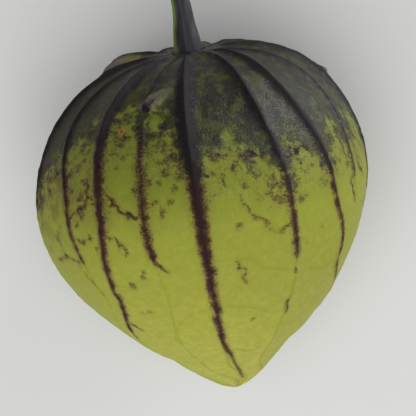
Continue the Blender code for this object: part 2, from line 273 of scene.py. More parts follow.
# The purple flecks on the same side: angle, depth and radius
SPOTS = tuple(Spot(*row) for row in (
    (-69.5, 16.2, 0.45), (-63.5, 14.8, 0.4), (-72.0, 13.4, 0.5), (-58.0, 19.4, 0.28), (-61.0, 21.1, 0.26),
    (-71.0, 23.2, 0.24), (-62.0, 24.3, 0.3), (-48.5, 11.6, 0.35), (-50.5, 14.3, 0.35), (-42.0, 14.2, 0.5),
    (-44.5, 16.9, 0.35), (-39.6, 22.0, 0.36), (-51.6, 24.0, 0.26), (-32.0, 5.2, 0.4), (-24.0, 5.9, 0.45),
    (-30.0, 8.4, 0.5), (-32.6, 7.6, 0.45), (-30.0, 11.4, 0.16), (-28.0, 10.3, 0.2), (-18.0, 13.6, 0.42),
    (-22.6, 14.3, 0.36), (-30.8, 15.8, 0.36), (-24.0, 17.8, 0.3), (-13.2, 17.4, 0.32), (-30.4, 21.8, 0.34),
    (-25.0, 26.2, 0.3), (-24.2, 25.4, 0.2), (-30.6, 27.5, 0.34), (-17.0, 20.1, 0.14), (-33.5, 32.1, 0.1),
    (-29.5, 31.8, 0.1), (-54.0, 36.7, 0.3), (-22.6, 5.0, 0.75), (-9.5, 7.9, 0.6), (-7.5, 9.1, 0.6),
    (-12.5, 6.8, 0.5), (-12.5, 9.8, 0.42), (-9.0, 10.8, 0.7), (-6.6, 12.0, 0.6), (-8.6, 14.6, 0.4),
    (-12.0, 12.4, 0.4), (-10.6, 16.2, 0.3), (-45.0, 15.2, 0.7), (-44.0, 17.4, 0.5), (-47.0, 18.8, 0.42),
    (-43.6, 13.0, 0.4), (-74.0, 17.2, 0.5), (-66.0, 13.2, 0.5), (-70.0, 11.6, 0.6), (-42.0, 20.4, 0.36),
    (-11.5, 11.0, 0.42), (-11.0, 12.0, 0.36), (-14.0, 13.7, 0.2), (-8.0, 12.6, 0.3), (7.0, 9.6, 0.55),
    (5.5, 11.6, 0.5), (9.5, 11.4, 0.45), (4.5, 13.6, 0.35), (12.0, 13.0, 0.45), (22.0, 12.6, 0.5),
    (14.2, 16.0, 0.2), (13.2, 18.1, 0.22), (17.4, 20.2, 0.18), (20.2, 21.3, 0.3), (23.4, 22.6, 0.16),
    (27.0, 22.4, 0.22), (24.0, 18.0, 0.34), (26.0, 18.6, 0.42), (33.5, 19.1, 0.36), (36.0, 18.8, 0.26),
    (28.0, 18.2, 0.6), (27.2, 16.4, 0.4), (31.6, 17.8, 0.55), (28.6, 14.6, 0.45), (33.0, 12.2, 0.5),
    (39.0, 12.4, 0.4), (11.0, 20.8, 0.1), (35.5, 25.2, 0.13), (42.5, 23.8, 0.13), (15.0, 35.0, 0.16),
    (32.0, 28.6, 0.24), (62.0, 18.6, 0.3), (11.6, 29.0, 0.22), (60.5, 12.0, 0.5), (57.0, 9.0, 0.5),
    (54.0, 12.6, 0.3),
))


@dataclass
class HuskForm:
    """The husk's form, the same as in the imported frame: its outline, ribs, hooks and beak.

    A run tells how far down a place is: -1 at the seat, 0 at the widest ring and 1 at the tip.
    """

    radius: float = 23.15 * MM
    shoulder_rise: float = 21.2 * MM
    crown_slope: float = 1.1
    taper_length: float = 29.9 * MM
    taper_fullness: float = 0.82
    dimple_depth: float = 2.7 * MM
    dimple_reach: float = 12.0 * MM
    bow_width: float = 1.15 * MM
    tip_shift: float = 0.4 * MM
    shoulder_tilt: float = 0.3 * MM
    rib_knots: tuple[float, ...] = (3.0 * MM, 18.0 * MM, 29.0 * MM, 40.0 * MM)
    pleat_spread: float = 8.0
    pleat_sharpness: float = 1.15
    shoulder_pleat: float = 0.95 * MM
    shoulder_run: float = -0.5
    shoulder_width: float = 0.36
    waist_pleat: float = 0.25 * MM
    waist_loss: float = 0.5
    waist_loss_end: float = 0.8
    second_share: float = 0.5
    pleat_mean_share: float = 0.75
    cord_height: float = 0.28 * MM
    cord_half_width: float = 0.75 * MM
    crown_fade: Pair = (3.0 * MM, 7.0 * MM)
    beak_fade: Pair = (1.5 * MM, 9.0 * MM)
    auricle_drop: float = 1.0 * MM
    lean_reach: float = 4.0
    crown_arc: float = 34.0 * MM
    lobes: int = 5
    lobe_groove: float = 0.3 * MM
    lobe_reach: float = 4.5 * MM
    lobe_twist: float = 30.0
    groove_level: float = 0.5
    groove_fade: float = 1.0 * MM
    beak_twist: float = 45.0
    twist_reach: float = 5.5 * MM
    beak_waist: tuple[float, float, float] = (0.35 * MM, 6.2 * MM, 1.4 * MM)
    stalk_raise: float = math.radians(7.0)
    flat_depth: float = 0.8 * MM

    @property
    def widest_depth(self) -> float:
        """Depth of the widest ring below the seat."""
        return self.shoulder_rise - self.dimple_depth

    @property
    def length(self) -> float:
        """Depth of the tip below the seat."""
        return self.widest_depth + self.taper_length

    def outline(self, run: Array) -> tuple[Array, Array]:
        """The bare husk's half section.

        Args:
            run: How far down each place is.

        Returns:
            The radius and the depth at each run.
        """
        lean = (1.0 + np.minimum(run, 0.0)) * math.pi / 2
        crown_radius = self.radius * np.sin(lean)
        dimple = self.dimple_depth * bell(crown_radius, self.dimple_reach)
        crown_rise = self.shoulder_rise * np.maximum(np.cos(lean), 0.0) ** self.crown_slope
        crown_depth = self.widest_depth - crown_rise + dimple
        fall = np.clip(run, 0.0, 1.0)
        taper_radius = self.radius * np.maximum(np.cos(math.pi / 2 * fall), 0.0) ** self.taper_fullness
        taper_depth = self.widest_depth + self.taper_length * fall
        on_crown = run < 0.0
        return np.where(on_crown, crown_radius, taper_radius), np.where(on_crown, crown_depth, taper_depth)

    def outline_normal(self, run: Array) -> tuple[Array, Array]:
        """Outward and downward parts of the outline's unit normal.

        Args:
            run: Run of each place.

        Returns:
            The outward part and the downward part at each run.
        """
        step = 0.002
        radius_near, depth_near = self.outline(np.clip(run - step, -1.0, 1.0))
        radius_far, depth_far = self.outline(np.clip(run + step, -1.0, 1.0))
        length = np.hypot(radius_far - radius_near, depth_far - depth_near)
        return (depth_far - depth_near) / length, (radius_near - radius_far) / length

    def run_at_depth(self, depth: Array) -> Array:
        """The run at which the outer side of the husk reaches a depth."""
        runs = np.linspace(-0.8, 1.0, 1800)
        return np.interp(depth, self.outline(runs)[1], runs)

    def bow(self, depth: Array) -> Array:
        """Sideways shift of the husk's axis: it bends a little to the left, and so does its tip."""
        part = np.clip(depth / self.length, 0.0, 1.0)
        return -self.tip_shift * part**4 - self.bow_width * np.sin(math.pi * part)

    def rib_angle(self, rib: Rib, depth: Array) -> Array:
        """Angle of a rib at a depth, blended smoothly between its four knots and twisted at the beak.

        Args:
            rib: The rib to follow.
            depth: Depth of each place.

        Returns:
            The rib's angle at each depth.
        """
        angle = np.full_like(depth, rib.angles[0])
        knots = self.rib_knots
        for first, last, start, end in zip(rib.angles, rib.angles[1:], knots, knots[1:]):
            angle = angle + (last - first) * smooth_step(depth, start, end)
        return angle + self.beak_twist * smooth_step(depth, self.length - self.twist_reach, self.length)

    def pleat_height(self, run: Array) -> Array:
        """How far the skin is drawn out at a main rib: most on the shoulder, least near the tip.

        Args:
            run: Run of each place.

        Returns:
            A height at each run.
        """
        low = 1.0 - self.waist_loss * smooth_step(run, 0.0, self.waist_loss_end)
        shoulder = bell(run - self.shoulder_run, self.shoulder_width)
        return self.shoulder_pleat * shoulder + self.waist_pleat * low

    def rib_relief(self, angle: Array, radius: Array, depth: Array, run: Array) -> Array:
        """Height of the pleats and of the cords along the ribs, over the bare outline.

        Args:
            angle: Angle of each place.
            radius: Radius of each place.
            depth: Depth of each place.
            run: Run of each place.

        Returns:
            A height for each place.
        """
        relief = -self.pleat_mean_share * self.pleat_height(run)
        for rib in RIBS:
            off = np.abs(turn_between(angle, self.rib_angle(rib, depth)))
            across = np.radians(off) * radius
            share = 1.0 if rib.main else self.second_share
            pleat = self.pleat_height(run) * np.exp(-((off / self.pleat_spread) ** self.pleat_sharpness))
            relief = relief + share * (pleat + self.cord_height * bell(across, self.cord_half_width))
        return relief * self.rib_fade(radius, depth, run)

    def rib_fade(self, radius: Array, depth: Array, run: Array) -> Array:
        """How much of the ribs is left close to the stalk and close to the tip."""
        beak = smooth_step(self.length - depth, *self.beak_fade)
        return smooth_step(radius, *self.crown_fade) * np.where(run < 0.0, 1.0, beak)

    def auricle_shares(self, angle: Array, radius: Array, run: Array) -> list[Array]:
        """The rise of each hook at each place, from 0 to 1.

        Args:
            angle: Angle of each place.
            radius: Radius of each place.
            run: Run of each place.

        Returns:
            For each hook, its share at each place.
        """
        shares = []
        for auricle in AURICLES:
            along = (run - self.run_at_depth(auricle.depth)) * self.crown_arc
            middle = auricle.angle + auricle.lean * np.clip(-along / MM, 0.0, self.lean_reach)
            across = np.radians(turn_between(angle, middle)) * radius
            reach = np.where(along < 0.0, auricle.ramp, self.auricle_drop)
            shares.append(np.exp(-((across / auricle.half_width) ** 2) - (along / reach) ** 2))
        return shares

    def beak_relief(self, angle: Array, depth: Array) -> Array:
        """Grooves between the lobes at the tip, and the slight neck above it.

        Args:
            angle: Angle of each place.
            depth: Depth of each place.

        Returns:
            A height for each place.
        """
        above = self.length - depth
        turned = np.radians(angle + self.lobe_twist * above / self.lobe_reach)
        lobes = np.cos(self.lobes * turned) - self.groove_level
        grooves = self.lobe_groove * lobes * bell(above, self.lobe_reach)
        height, place, reach = self.beak_waist
        return grooves * smooth_step(above, 0.0, self.groove_fade) - height * bell(above - place, reach)

    def bare_place(self, angle: Array, run: Array) -> Array:
        """Places on the bare outline, with no relief and no bow, as rows of x, y and z.

        Args:
            angle: Angle of each place.
            run: Run of each place.

        Returns:
            A place for each angle and run.
        """
        radius, depth = self.outline(run)
        turn = np.radians(angle)
        return np.stack([radius * np.sin(turn), -radius * np.cos(turn), -depth], axis=-1)

    def down(self) -> Array:
        """The way down in the growing frame, once the fruit lies on its back."""
        return np.array([0.0, math.cos(self.stalk_raise), -math.sin(self.stalk_raise)])

    def resting_point(self) -> Array:
        """Middle of the flat spot in the growing frame.

        Returns:
            The point, as x, y and z.
        """
        runs = np.linspace(-0.5, 0.5, 1001)
        radius, depth = self.outline(runs)
        down = self.down()
        lowest = int(np.argmax(radius * down[1] - depth * down[2]))
        touch = np.array([float(self.bow(depth[lowest])), radius[lowest], -depth[lowest]])
        return touch - down * self.flat_depth

    def lay_down(self, points: Array) -> Array:
        """Takes rows of x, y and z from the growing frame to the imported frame."""
        turn = np.array(Matrix.Rotation(self.stalk_raise - math.pi / 2, 3, "X"))
        return (points - self.resting_point()) @ turn.T

    def settle(self, mesh: bpy.types.Mesh, points: Array, node: str, clearance: float = 0.0) -> None:
        """Lays a piece down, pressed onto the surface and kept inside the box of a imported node.

        Args:
            mesh: The piece's mesh, which takes the places.
            points: A place in the growing frame for each vertex.
            node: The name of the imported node.
            clearance: How far inside the node's box the piece stays.
        """
        low, high = (np.array(corner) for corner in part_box(node))
        laid = np.clip(self.lay_down(points), low + clearance, high - clearance)
        mesh.vertices.foreach_set("co", laid.astype(np.float32).ravel())
        mesh.update()


@dataclass
class VeinTrail:
    """Evenly spaced places along veins, in a tree that finds the one nearest to a place."""

    form: HuskForm
    bends: int = 24
    spacing: float = 0.12 * MM
    waves: int = 8
    wander: float = 0.08 * MM
    wander_length: float = 2.6 * MM
    wander_way: tuple[float, float, float] = (1.0, 0.0, 0.6)
    swell: float = 0.28
    swell_length: float = 1.7 * MM
    swell_seed: int = 500
    swell_range: Pair = (0.4, 1.6)
    end_width: float = 0.55
    end_growth: float = 2.2
    softness: float = 0.3 * MM
    vein_share: float = 0.62
    vein_depth: float = 0.74
    spot_share: float = 0.9
    spot_depth: float = 0.41
    tree: Any = None
    widths: list[float] = field(default_factory=list)
    depths: list[float] = field(default_factory=list)

    def lay(self, veins: Sequence[Vein], spots: Sequence[Spot] = ()) -> None:
        """Fills the tree.

        Args:
            veins: The veins to follow, each on a smooth curve through its route.
            spots: Round spots, which count as a single place each.
        """
        places: list[Array] = []
        way = np.array(self.wander_way)
        for number, vein in enumerate(veins):
            trail = self.curve(vein)
            swing = ripples(trail, self.wander_length, number, self.waves)[:, None] * way
            places.extend(trail + self.wander * vein.uneven * swing)
            swell = ripples(trail, self.swell_length, number + self.swell_seed, self.waves)
            uneven = np.clip(1.0 + self.swell * vein.uneven * swell, *self.swell_range)
            part = np.linspace(0.0, 1.0, len(trail))
            taper = np.minimum(1.0, self.end_width + self.end_growth * (1.0 - part))
            self.widths.extend(self.vein_share * vein.half_width * MM * taper * uneven)
            self.depths.extend([self.vein_depth] * len(trail))
        for spot in spots:
            run = self.form.run_at_depth(np.array([spot.depth * MM]))
            places.append(self.form.bare_place(np.array([spot.angle]), run)[0])
            self.widths.append(self.spot_share * spot.radius * MM)
            self.depths.append(self.spot_depth)
        self.tree = kdtree.KDTree(len(places))
        for number, place in enumerate(places):
            self.tree.insert(place, number)
        self.tree.balance()

    def curve(self, vein: Vein) -> Array:
        """Places along a vein's route on the bare outline, on a smooth curve through its points.

        Args:
            vein: The vein to follow.

        Returns:
            Rows of x, y and z, a spacing apart.
        """
        route = np.array(vein.route)
        ends = np.vstack([2 * route[0] - route[1], route, 2 * route[-1] - route[-2]])
        places = []
        for before, here, there, after in zip(ends, ends[1:], ends[2:], ends[3:]):
            part = np.linspace(0.0, 1.0, self.bends, endpoint=False)[:, None]
            bend = 2 * here + (there - before) * part
            bend = bend + (2 * before - 5 * here + 4 * there - after) * part**2
            bend = bend + (3 * here - before - 3 * there + after) * part**3
            places.append(bend / 2)
        points = np.vstack(places + [route[-1:]])
        bare = self.form.bare_place(points[:, 0], self.form.run_at_depth(points[:, 1] * MM))
        steps = np.concatenate([[0.0], np.cumsum(np.linalg.norm(np.diff(bare, axis=0), axis=1))])
        stations = np.linspace(0.0, steps[-1], max(3, int(steps[-1] / self.spacing)))
        return np.stack([np.interp(stations, steps, bare[:, axis]) for axis in range(3)], axis=-1)

    def gap(self, places: Array) -> Array:
        """Distance from each place on the bare outline to the nearest vein."""
        return np.array([self.tree.find(place)[2] for place in places.tolist()])

    def tint(self, places: Array, among: int = 5) -> Array:
        """How much the veins and spots tint each place: from below 0 outside up to their own depth."""
        return np.array([
            max(min(0.5 + (self.widths[number] - gap) / (2.0 * self.softness), self.depths[number])
                for _, number, gap in self.tree.find_n(place, among))
            for place in places.tolist()
        ])


@dataclass
class Markings:
    """What the skin shows at each place: ribs, side veins, flecks, the dark crown and a brown tint on the
    left side that is partly painted shade.

    A tint is 0.5 on the edge of a dark mark, more inside and less outside. The tables, and the random
    figures of the net and the flecks, are in millimetres and degrees.
    """

    form: HuskForm
    dark_knots: tuple[float, ...] = (6.0, 14.0, 22.0, 30.0, 38.0)
    dark_fade: float = 2.2 * MM
    dark_fade_rate: float = 0.5
    stalk_share: float = 0.25
    stalk_fade: Pair = (3.0 * MM, 12.0 * MM)
    rib_softness: tuple[Pair, ...] = (
        (4.0, 0.6), (10.0, 0.62), (16.0, 0.56), (24.0, 0.48), (34.0, 0.42), (48.0, 0.36),
    )
    rib_waver: float = 0.09 * MM
    waver_length: float = 1.5 * MM
    waver_seed: int = 77
    bare_tint: float = -0.6
    halo_tint: float = 0.4
    halo_reach: float = 2.2 * MM
    halo_depth: float = 15.0 * MM
    halo_spread: float = 9.0 * MM
    halo_widths: Pair = (0.15 * MM, 0.5 * MM)
    crown_softness: float = 2.4 * MM
    crown_tongue: float = 3.2 * MM
    tongue_width: float = 1.5 * MM
    # From 222 to 251 degrees, on the back of the left shoulder, the edge rises to the seat and leaves the
    # green bare; that green stands in part for a painted glow of light through the thin husk.
    crown_edge: tuple[Pair, ...] = (
        (-100.0, 13.5), (-82.0, 13.8), (-70.0, 12.4), (-59.0, 8.2), (-45.0, 6.4), (-31.0, 4.2),
        (-22.0, 4.4), (-15.0, 6.6), (-6.0, 9.0), (3.5, 10.8), (8.0, 11.2), (10.5, 9.4), (15.0, 9.2),
        (17.5, 12.0), (22.0, 13.4), (27.0, 13.4), (33.0, 11.4), (39.5, 13.0), (50.0, 12.0), (62.0, 11.0),
        (75.0, 12.5), (95.0, 11.0), (125.0, 8.5), (150.0, 11.0), (180.0, 8.5), (205.0, 10.5), (222.0, 5.0),
        (230.0, -1.0), (244.0, -3.0), (251.0, 4.0), (260.0, 13.5),
    )
    # The left side's brown, partly the husk's own tint and partly painted shade of the side turned from the
    # light: its middle angle, its width and its fade downwards.
    left_brown_and_shade_side: float = -84.0
    left_brown_and_shade_width: float = 42.0
    left_brown_and_shade_fade: Pair = (14.0 * MM, 26.0 * MM)
    net_seed: int = 41
    net_first_rib: int = 7
    net_start: Spread = Spread(9.0, 4.0)
    net_end: float = 42.0
    net_gap: Spread = Spread(4.0, 2.0)
    net_drop: Spread = Spread(1.4, 2.2)
    net_sag: Spread = Spread(0.8, 0.9)
    net_fork: Spread = Spread(0.35, 0.3)
    drop_halfway: float = 0.2
    sag_halfway: float = 0.6
    spur_swing: Spread = Spread(-0.2, 0.4)
    spur_return: float = 0.6
    spur_sag: float = 0.6
    twig_chance: float = 0.75
    twig_end: float = 45.0
    twig_width: Spread = Spread(0.14, 0.14)
    cross_width: float = 0.16
    spur_width: float = 0.13
    fleck_count: int = 150
    fleck_angle: Spread = Spread(78.0, 190.0)
    fleck_depth: Spread = Spread(9.0, 26.0, 2.4)
    fleck_radius: Spread = Spread(0.12, 0.42, 2.0)

    def rule_veins(self) -> Iterator[Vein]:
        """Cross veins by rule for the sides and the back, where none is listed.

        Returns:
            Each vein in turn.
        """
        chance = np.random.default_rng(self.net_seed)
        for number in range(self.net_first_rib, len(RIBS)):
            after = (number + 1) % len(RIBS)
            depth = self.net_start.draw(chance)
            rising = bool(number % 2)
            while depth < self.net_end:
                place = np.array([depth * MM])
                left = float(self.form.rib_angle(RIBS[number], place)[0])
                right = float(self.form.rib_angle(RIBS[after], place)[0]) + (0.0 if after else 360.0)
                drop = self.net_drop.draw(chance) * (1.0 if rising else -1.0)
                sag = self.net_sag.draw(chance)
                middle = left + (right - left) * self.net_fork.draw(chance)
                halfway = ((left + middle) / 2, depth - drop * self.drop_halfway + sag * self.sag_halfway)
                fork = (middle, depth + sag)
                route = ((left, depth - drop / 2), halfway, fork, (right, depth + drop / 2))
                if chance.random() < self.twig_chance - depth / self.twig_end:
                    width = self.twig_width.draw(chance)
                    yield Vein(Tone.PURPLE, width, route[: 2 + int(chance.random() * 2)])
                yield Vein(Tone.GREEN, self.cross_width, route)
                below = depth + self.net_gap.draw(chance)
                swing = (right - left) * self.spur_swing.draw(chance)
                turn_off = (middle + swing, (depth + below) / 2 + self.spur_sag)
                end = (middle + swing * self.spur_return, below + sag)
                yield Vein(Tone.GREEN, self.spur_width, (fork, turn_off, end))
                depth = below
                rising = not rising

    def rule_spots(self) -> Iterator[Spot]:
        """Purple flecks by rule, thickest below the crown, on the sides and the back.

        Returns:
            Each fleck in turn.
        """
        chance = np.random.default_rng(self.net_seed + 1)
        for _ in range(self.fleck_count):
            angle, depth = self.fleck_angle.draw(chance), self.fleck_depth.draw(chance)
            yield Spot(angle, depth, self.fleck_radius.draw(chance))

    def rib_tint(self, angle: Array, radius: Array, depth: Array, bare: Array) -> tuple[Array, Array]:
        """Distance to the nearest rib, and the tint of the dark lines along the ribs.

        Args:
            angle: Angle of each place.
            radius: Radius of each place.
            depth: Depth of each place.
            bare: Each place on the bare outline, as rows of x, y and z.

        Returns:
            The distances and the tints.
        """
        waver = self.rib_waver * ripples(bare, self.waver_length, self.waver_seed)
        nearest = np.full_like(angle, 1.0)
        tint = np.full_like(angle, -1.0)
        softness = np.interp(depth / MM, *zip(*self.rib_softness)) * MM
        near_stalk = self.stalk_share + (1.0 - self.stalk_share) * smooth_step(radius, *self.stalk_fade)
        for rib in RIBS:
            off = np.abs(turn_between(angle, self.form.rib_angle(rib, depth)))
            across = np.radians(off) * radius
            width = np.interp(depth / MM, self.dark_knots, rib.dark) * MM
            beyond = np.maximum(depth - rib.dark_end * MM + self.dark_fade, 0.0)
            margin = width * near_stalk + waver - across - self.dark_fade_rate * beyond
            specked = bell(depth - self.halo_depth, self.halo_spread) * smooth_step(width, *self.halo_widths)
            halo = (self.halo_tint - self.bare_tint) * specked * bell(across, self.halo_reach)
            tint = np.maximum(tint, 0.5 + margin / (2.0 * softness))
            tint = np.maximum(tint, self.bare_tint + halo)
            nearest = np.minimum(nearest, across)
        return nearest, tint

    def crown_tint(self, angle: Array, depth: Array, rib_gap: Array) -> Array:
        """Tint of the dark crown, which fades out downwards and reaches lower along the ribs.

        Args:
            angle: Angle of each place.
            depth: Depth of each place.
            rib_gap: Distance to the nearest rib.

        Returns:
            A tint for each place.
        """
        sides, edges = np.array(self.crown_edge).T
        edge = np.interp((angle - sides[0]) % 360.0 + sides[0], sides, edges) * MM
        edge = edge + self.crown_tongue * bell(rib_gap, self.tongue_width)
        return 0.5 + (edge - depth) / (2.0 * self.crown_softness)

    def left_brown_and_shade(self, angle: Array, depth: Array) -> Array:
        """The brown on the left side, strongest on the shoulder: partly the husk's own tint and partly
        painted shade of the side turned from the light.
        """
        side = bell(turn_between(angle, self.left_brown_and_shade_side), self.left_brown_and_shade_width)
        return side * (1.0 - smooth_step(depth, *self.left_brown_and_shade_fade))


@dataclass
class Husk:
    """The closed husk: five fused lobes with ribs, auricles, a net of veins and a blunt beak.

    A mean is what a relief is lowered by, so that it is about zero on the whole. The scar, the hook's tip
    and its pale part are each at an angle and a depth. A flank's pair is how much a mark loses on the
    hooks' flanks, and over how wide a band.
    """

    form: HuskForm = field(default_factory=HuskForm)
    columns: int = 396
    rings: int = 250
    front_crowding: float = 0.3
    column_draw: float = 0.3
    taper_share: float = 0.51
    tip_crowding: float = 1.15
    socket: tuple[Pair, ...] = (
        (0.0, 1.3 * MM), (1.3 * MM, 1.3 * MM), (2.2 * MM, 1.25 * MM), (2.3 * MM, 0.7 * MM),
        (2.3 * MM, 0.15 * MM),
    )
    crown_start: float = 2.5 * MM
    shoulder_run: float = -0.42
    shoulder_width: float = 0.36
    crest_height: float = 0.14 * MM
    crest_half_width: float = 0.3 * MM
    crest_low: float = 0.2
    crest_mean: float = 0.15
    cord_easing: float = 0.13 * MM
    cord_easing_width: float = 0.8 * MM
    pillow_height: float = 0.3 * MM
    pillow_reach: float = 2.6 * MM
    pillow_mean: float = 0.45
    vein_height: float = 0.07 * MM
    vein_half_width: float = 0.34 * MM
    vein_mean: float = 0.2
    quilt_height: float = 0.08 * MM
    quilt_reach: float = 1.6 * MM
    quilt_mean: float = 0.55
    pucker_height: float = 0.025 * MM
    pucker_length: float = 3.4 * MM
    pucker_seed: int = 5
    crinkle_height: float = 0.012 * MM
    crinkle_length: float = 1.3 * MM
    crinkle_seed: int = 6
    crinkle_waves: int = 40
    blot_wobble: float = 0.16 * MM
    blot_length: float = 1.3 * MM
    blot_seeds: tuple[int, int, int] = (61, 62, 63)
    blot_fade: Pair = (32.0 * MM, 38.0 * MM)
    scar: Pair = (-31.5, 7.0 * MM)
    hook_tip: Pair = (-21.5, 4.8 * MM)
    hook_tip_tint: float = 1.8
    hook_tip_softness: float = 0.47 * MM
    hook_pale: Pair = (-19.8, 5.9 * MM)
    pale_reach: float = 1.1 * MM
    pale_loss: float = 0.9
    hook_top: float = 0.93
    hook_contrast: float = 6.0
    flank: float = 0.6
    flank_tint: Pair = (0.5, 0.25)
    flank_crown: Pair = (0.8, 0.3)
    tint_range: Pair = (-0.6, 1.3)
    crown_range: Pair = (-1.5, 2.5)
    skin_clearance: float = 0.005 * MM

    def build(self) -> bpy.types.Object:
        """Makes the husk as one closed mesh, marks its skin and dresses it.

        Returns:
            The husk, at the origin, with its place in its mesh.
        """
        deselect_all()
        bpy.ops.mesh.primitive_uv_sphere_add(segments=self.columns, ring_count=self.rings, radius=1.0)
        husk = bpy.context.object
        husk.name = husk.data.name = "husk_skin_dressed"
        ring, column = self.numbering(husk.data)
        run, inner = self.ring_runs()
        angle = self.column_angles(column, self.form.outline(run)[1][ring])
        points = self.shape(husk.data, angle, run[ring])
        points = self.fit_socket(points, angle, ring, inner)
        self.form.settle(husk.data, points, "husk", self.skin_clearance)
        husk.data.shade_smooth()
        HuskFinish().material().dress(husk)
        return husk

    def numbering(self, mesh: bpy.types.Mesh) -> tuple[Array, Array]:
        """The ring and the column of each vertex of a new sphere, counted from its top.

        Args:
            mesh: The new sphere's mesh.

        Returns:
            The rings and the columns.
        """
        points = places_of(mesh)
        polar = np.arccos(np.clip(points[:, 2], -1.0, 1.0))
        ring = np.rint(polar * self.rings / math.pi).astype(int)
        turn = np.arctan2(points[:, 1], points[:, 0]) % (2.0 * math.pi)
        return ring, np.rint(turn * self.columns / (2.0 * math.pi)).astype(int) % self.columns

    def ring_runs(self) -> tuple[Array, int]:
        """The run of each ring from the seat to the tip, and how many rings lie in the socket.

        Returns:
            The runs and that number.
        """
        inner = len(self.socket)
        outer = self.rings + 1 - inner
        low = int(outer * self.taper_share)
        start = math.asin(self.crown_start / self.form.radius) * 2.0 / math.pi - 1.0
        crown = np.linspace(start, 0.0, outer - low, endpoint=False)
        taper = 1.0 - (1.0 - np.linspace(0.0, 1.0, low)) ** self.tip_crowding
        return np.concatenate([np.full(inner, start), crown, taper]), inner

    def column_angles(self, column: Array, depth: Array) -> Array:
        """Angle of each vertex: columns follow the ribs and crowd towards them and to the front.

        Args:
            column: Column of each vertex.
            depth: Depth of each vertex.

        Returns:
            An angle for each vertex.
        """
        firsts = np.array([rib.angles[0] for rib in RIBS] + [RIBS[0].angles[0] + 360.0])
        spread = firsts + np.degrees(self.front_crowding * np.sin(np.radians(firsts)))
        starts = np.rint((spread - spread[0]) / 360.0 * self.columns).astype(int)
        gap = np.searchsorted(starts, column, side="right") - 1
        part = (column - starts[gap]) / (starts[gap + 1] - starts[gap])
        part = part - self.column_draw * np.sin(2.0 * math.pi * part) / (2.0 * math.pi)
        angles = np.array([self.form.rib_angle(rib, depth) for rib in RIBS])
        angles = np.vstack([angles, angles[:1] + 360.0])
        index = np.arange(len(depth))
        here = angles[gap, index]
        return here + part * (angles[gap + 1, index] - here)

    def shape(self, mesh: bpy.types.Mesh, angle: Array, run: Array) -> Array:
        """Places of the skin in the growing frame; the marks are stored on the mesh on the way.

        Args:
            mesh: The mesh that takes the marks.
            angle: Angle of each vertex.
            run: Run of each vertex.

        Returns:
            A place for each vertex.
        """
        form = self.form
        radius, depth = form.outline(run)
        bare = form.bare_place(angle, run)
        shares = form.auricle_shares(angle, radius, run)
        rib_gap, vein_gap = self.paint(mesh, angle, run, shares)

        relief = form.rib_relief(angle, radius, depth, run) + form.beak_relief(angle, depth)
        for auricle, share in zip(AURICLES, shares):
            relief = relief + auricle.height * share
        pucker = self.pucker_height * ripples(bare, self.pucker_length, self.pucker_seed)
        fine = self.fine_relief(run, rib_gap, vein_gap) + pucker
        relief = relief + form.rib_fade(radius, depth, run) * fine
        crinkle = ripples(bare, self.crinkle_length, self.crinkle_seed, self.crinkle_waves)
        relief = relief + self.crinkle_height * crinkle

        out, down = form.outline_normal(run)
        turn = np.radians(angle)
        lift = form.shoulder_tilt * np.sin(math.pi * (1.0 + np.minimum(run, 0.0))) * np.sin(turn)
        droop = sum(auricle.droop * share**3 for auricle, share in zip(AURICLES, shares))
        reach = radius + relief * out - droop * down
        x = form.bow(depth) + reach * np.sin(turn)
        return np.stack([x, -reach * np.cos(turn), lift - depth - relief * down - droop * out], axis=-1)

    def fine_relief(self, run: Array, rib_gap: Array, vein_gap: Array) -> Array:
        """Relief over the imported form: sharper crests, raised veins and panels that swell between them.

        Args:
            run: Run of each place.
            rib_gap: Distance to the nearest rib.
            vein_gap: Distance to the nearest side vein.

        Returns:
            Heights that are about zero on the whole, so that the outline stays.
        """
        shoulder = bell(run - self.shoulder_run, self.shoulder_width)
        crest = bell(rib_gap, self.crest_half_width) - self.crest_mean
        crest = self.crest_height * (self.crest_low + (1.0 - self.crest_low) * shoulder) * crest
        crest = crest - self.cord_easing * (1.0 - shoulder) * bell(rib_gap, self.cord_easing_width)
        pillow = self.pillow_height * shoulder * (self.pillow_mean - bell(rib_gap, self.pillow_reach))
        vein = self.vein_height * (bell(vein_gap, self.vein_half_width) - self.vein_mean)
        gap = np.minimum(vein_gap, rib_gap)
        quilt = self.quilt_height * (smooth_step(gap, 0.0, self.quilt_reach) - self.quilt_mean)
        return crest + pillow + vein + quilt

    def paint(self, mesh: bpy.types.Mesh, angle: Array, run: Array,
              shares: list[Array]) -> tuple[Array, Array]:
        """Stores on the mesh what the skin's material reads.

        Args:
            mesh: The mesh that takes the marks.
            angle: Angle of each vertex.
            run: Run of each vertex.
            shares: The rise of each hook at each vertex.

        Returns:
            The distances to the nearest rib and to the nearest side vein.
        """
        form = self.form
        radius, depth = form.outline(run)
        bare = form.bare_place(angle, run)
        marks = Markings(form)
        veins = (*DRAWN_VEINS, *marks.rule_veins())
        blots, net = VeinTrail(form), VeinTrail(form)
        blots.lay([vein for vein in veins if vein.tone is Tone.PURPLE], (*SPOTS, *marks.rule_spots()))
        net.lay(veins)
        vein_gap = net.gap(bare)
        rib_gap, rib_tint = marks.rib_tint(angle, radius, depth, bare)
        hook = np.max(shares, axis=0)
        pale = bell(self.gap_to(self.hook_pale, bare), self.pale_reach)
        tint = np.maximum(self.blot_tint(blots, bare, depth), rib_tint)
        tint = np.maximum(tint, 0.5 + (hook - self.hook_top) * self.hook_contrast)
        tint = tint - self.flank_tint[0] * bell(hook - self.flank, self.flank_tint[1])
        tip = self.hook_tip_tint - self.gap_to(self.hook_tip, bare) / self.hook_tip_softness
        tint = np.maximum(tint - self.pale_loss * pale, tip)
        crown = marks.crown_tint(angle, depth, rib_gap) - pale
        crown = crown - self.flank_crown[0] * bell(hook - self.flank, self.flank_crown[1])
        mark(mesh, "tint", np.clip(tint, *self.tint_range))
        mark(mesh, "crown", np.clip(crown, *self.crown_range))
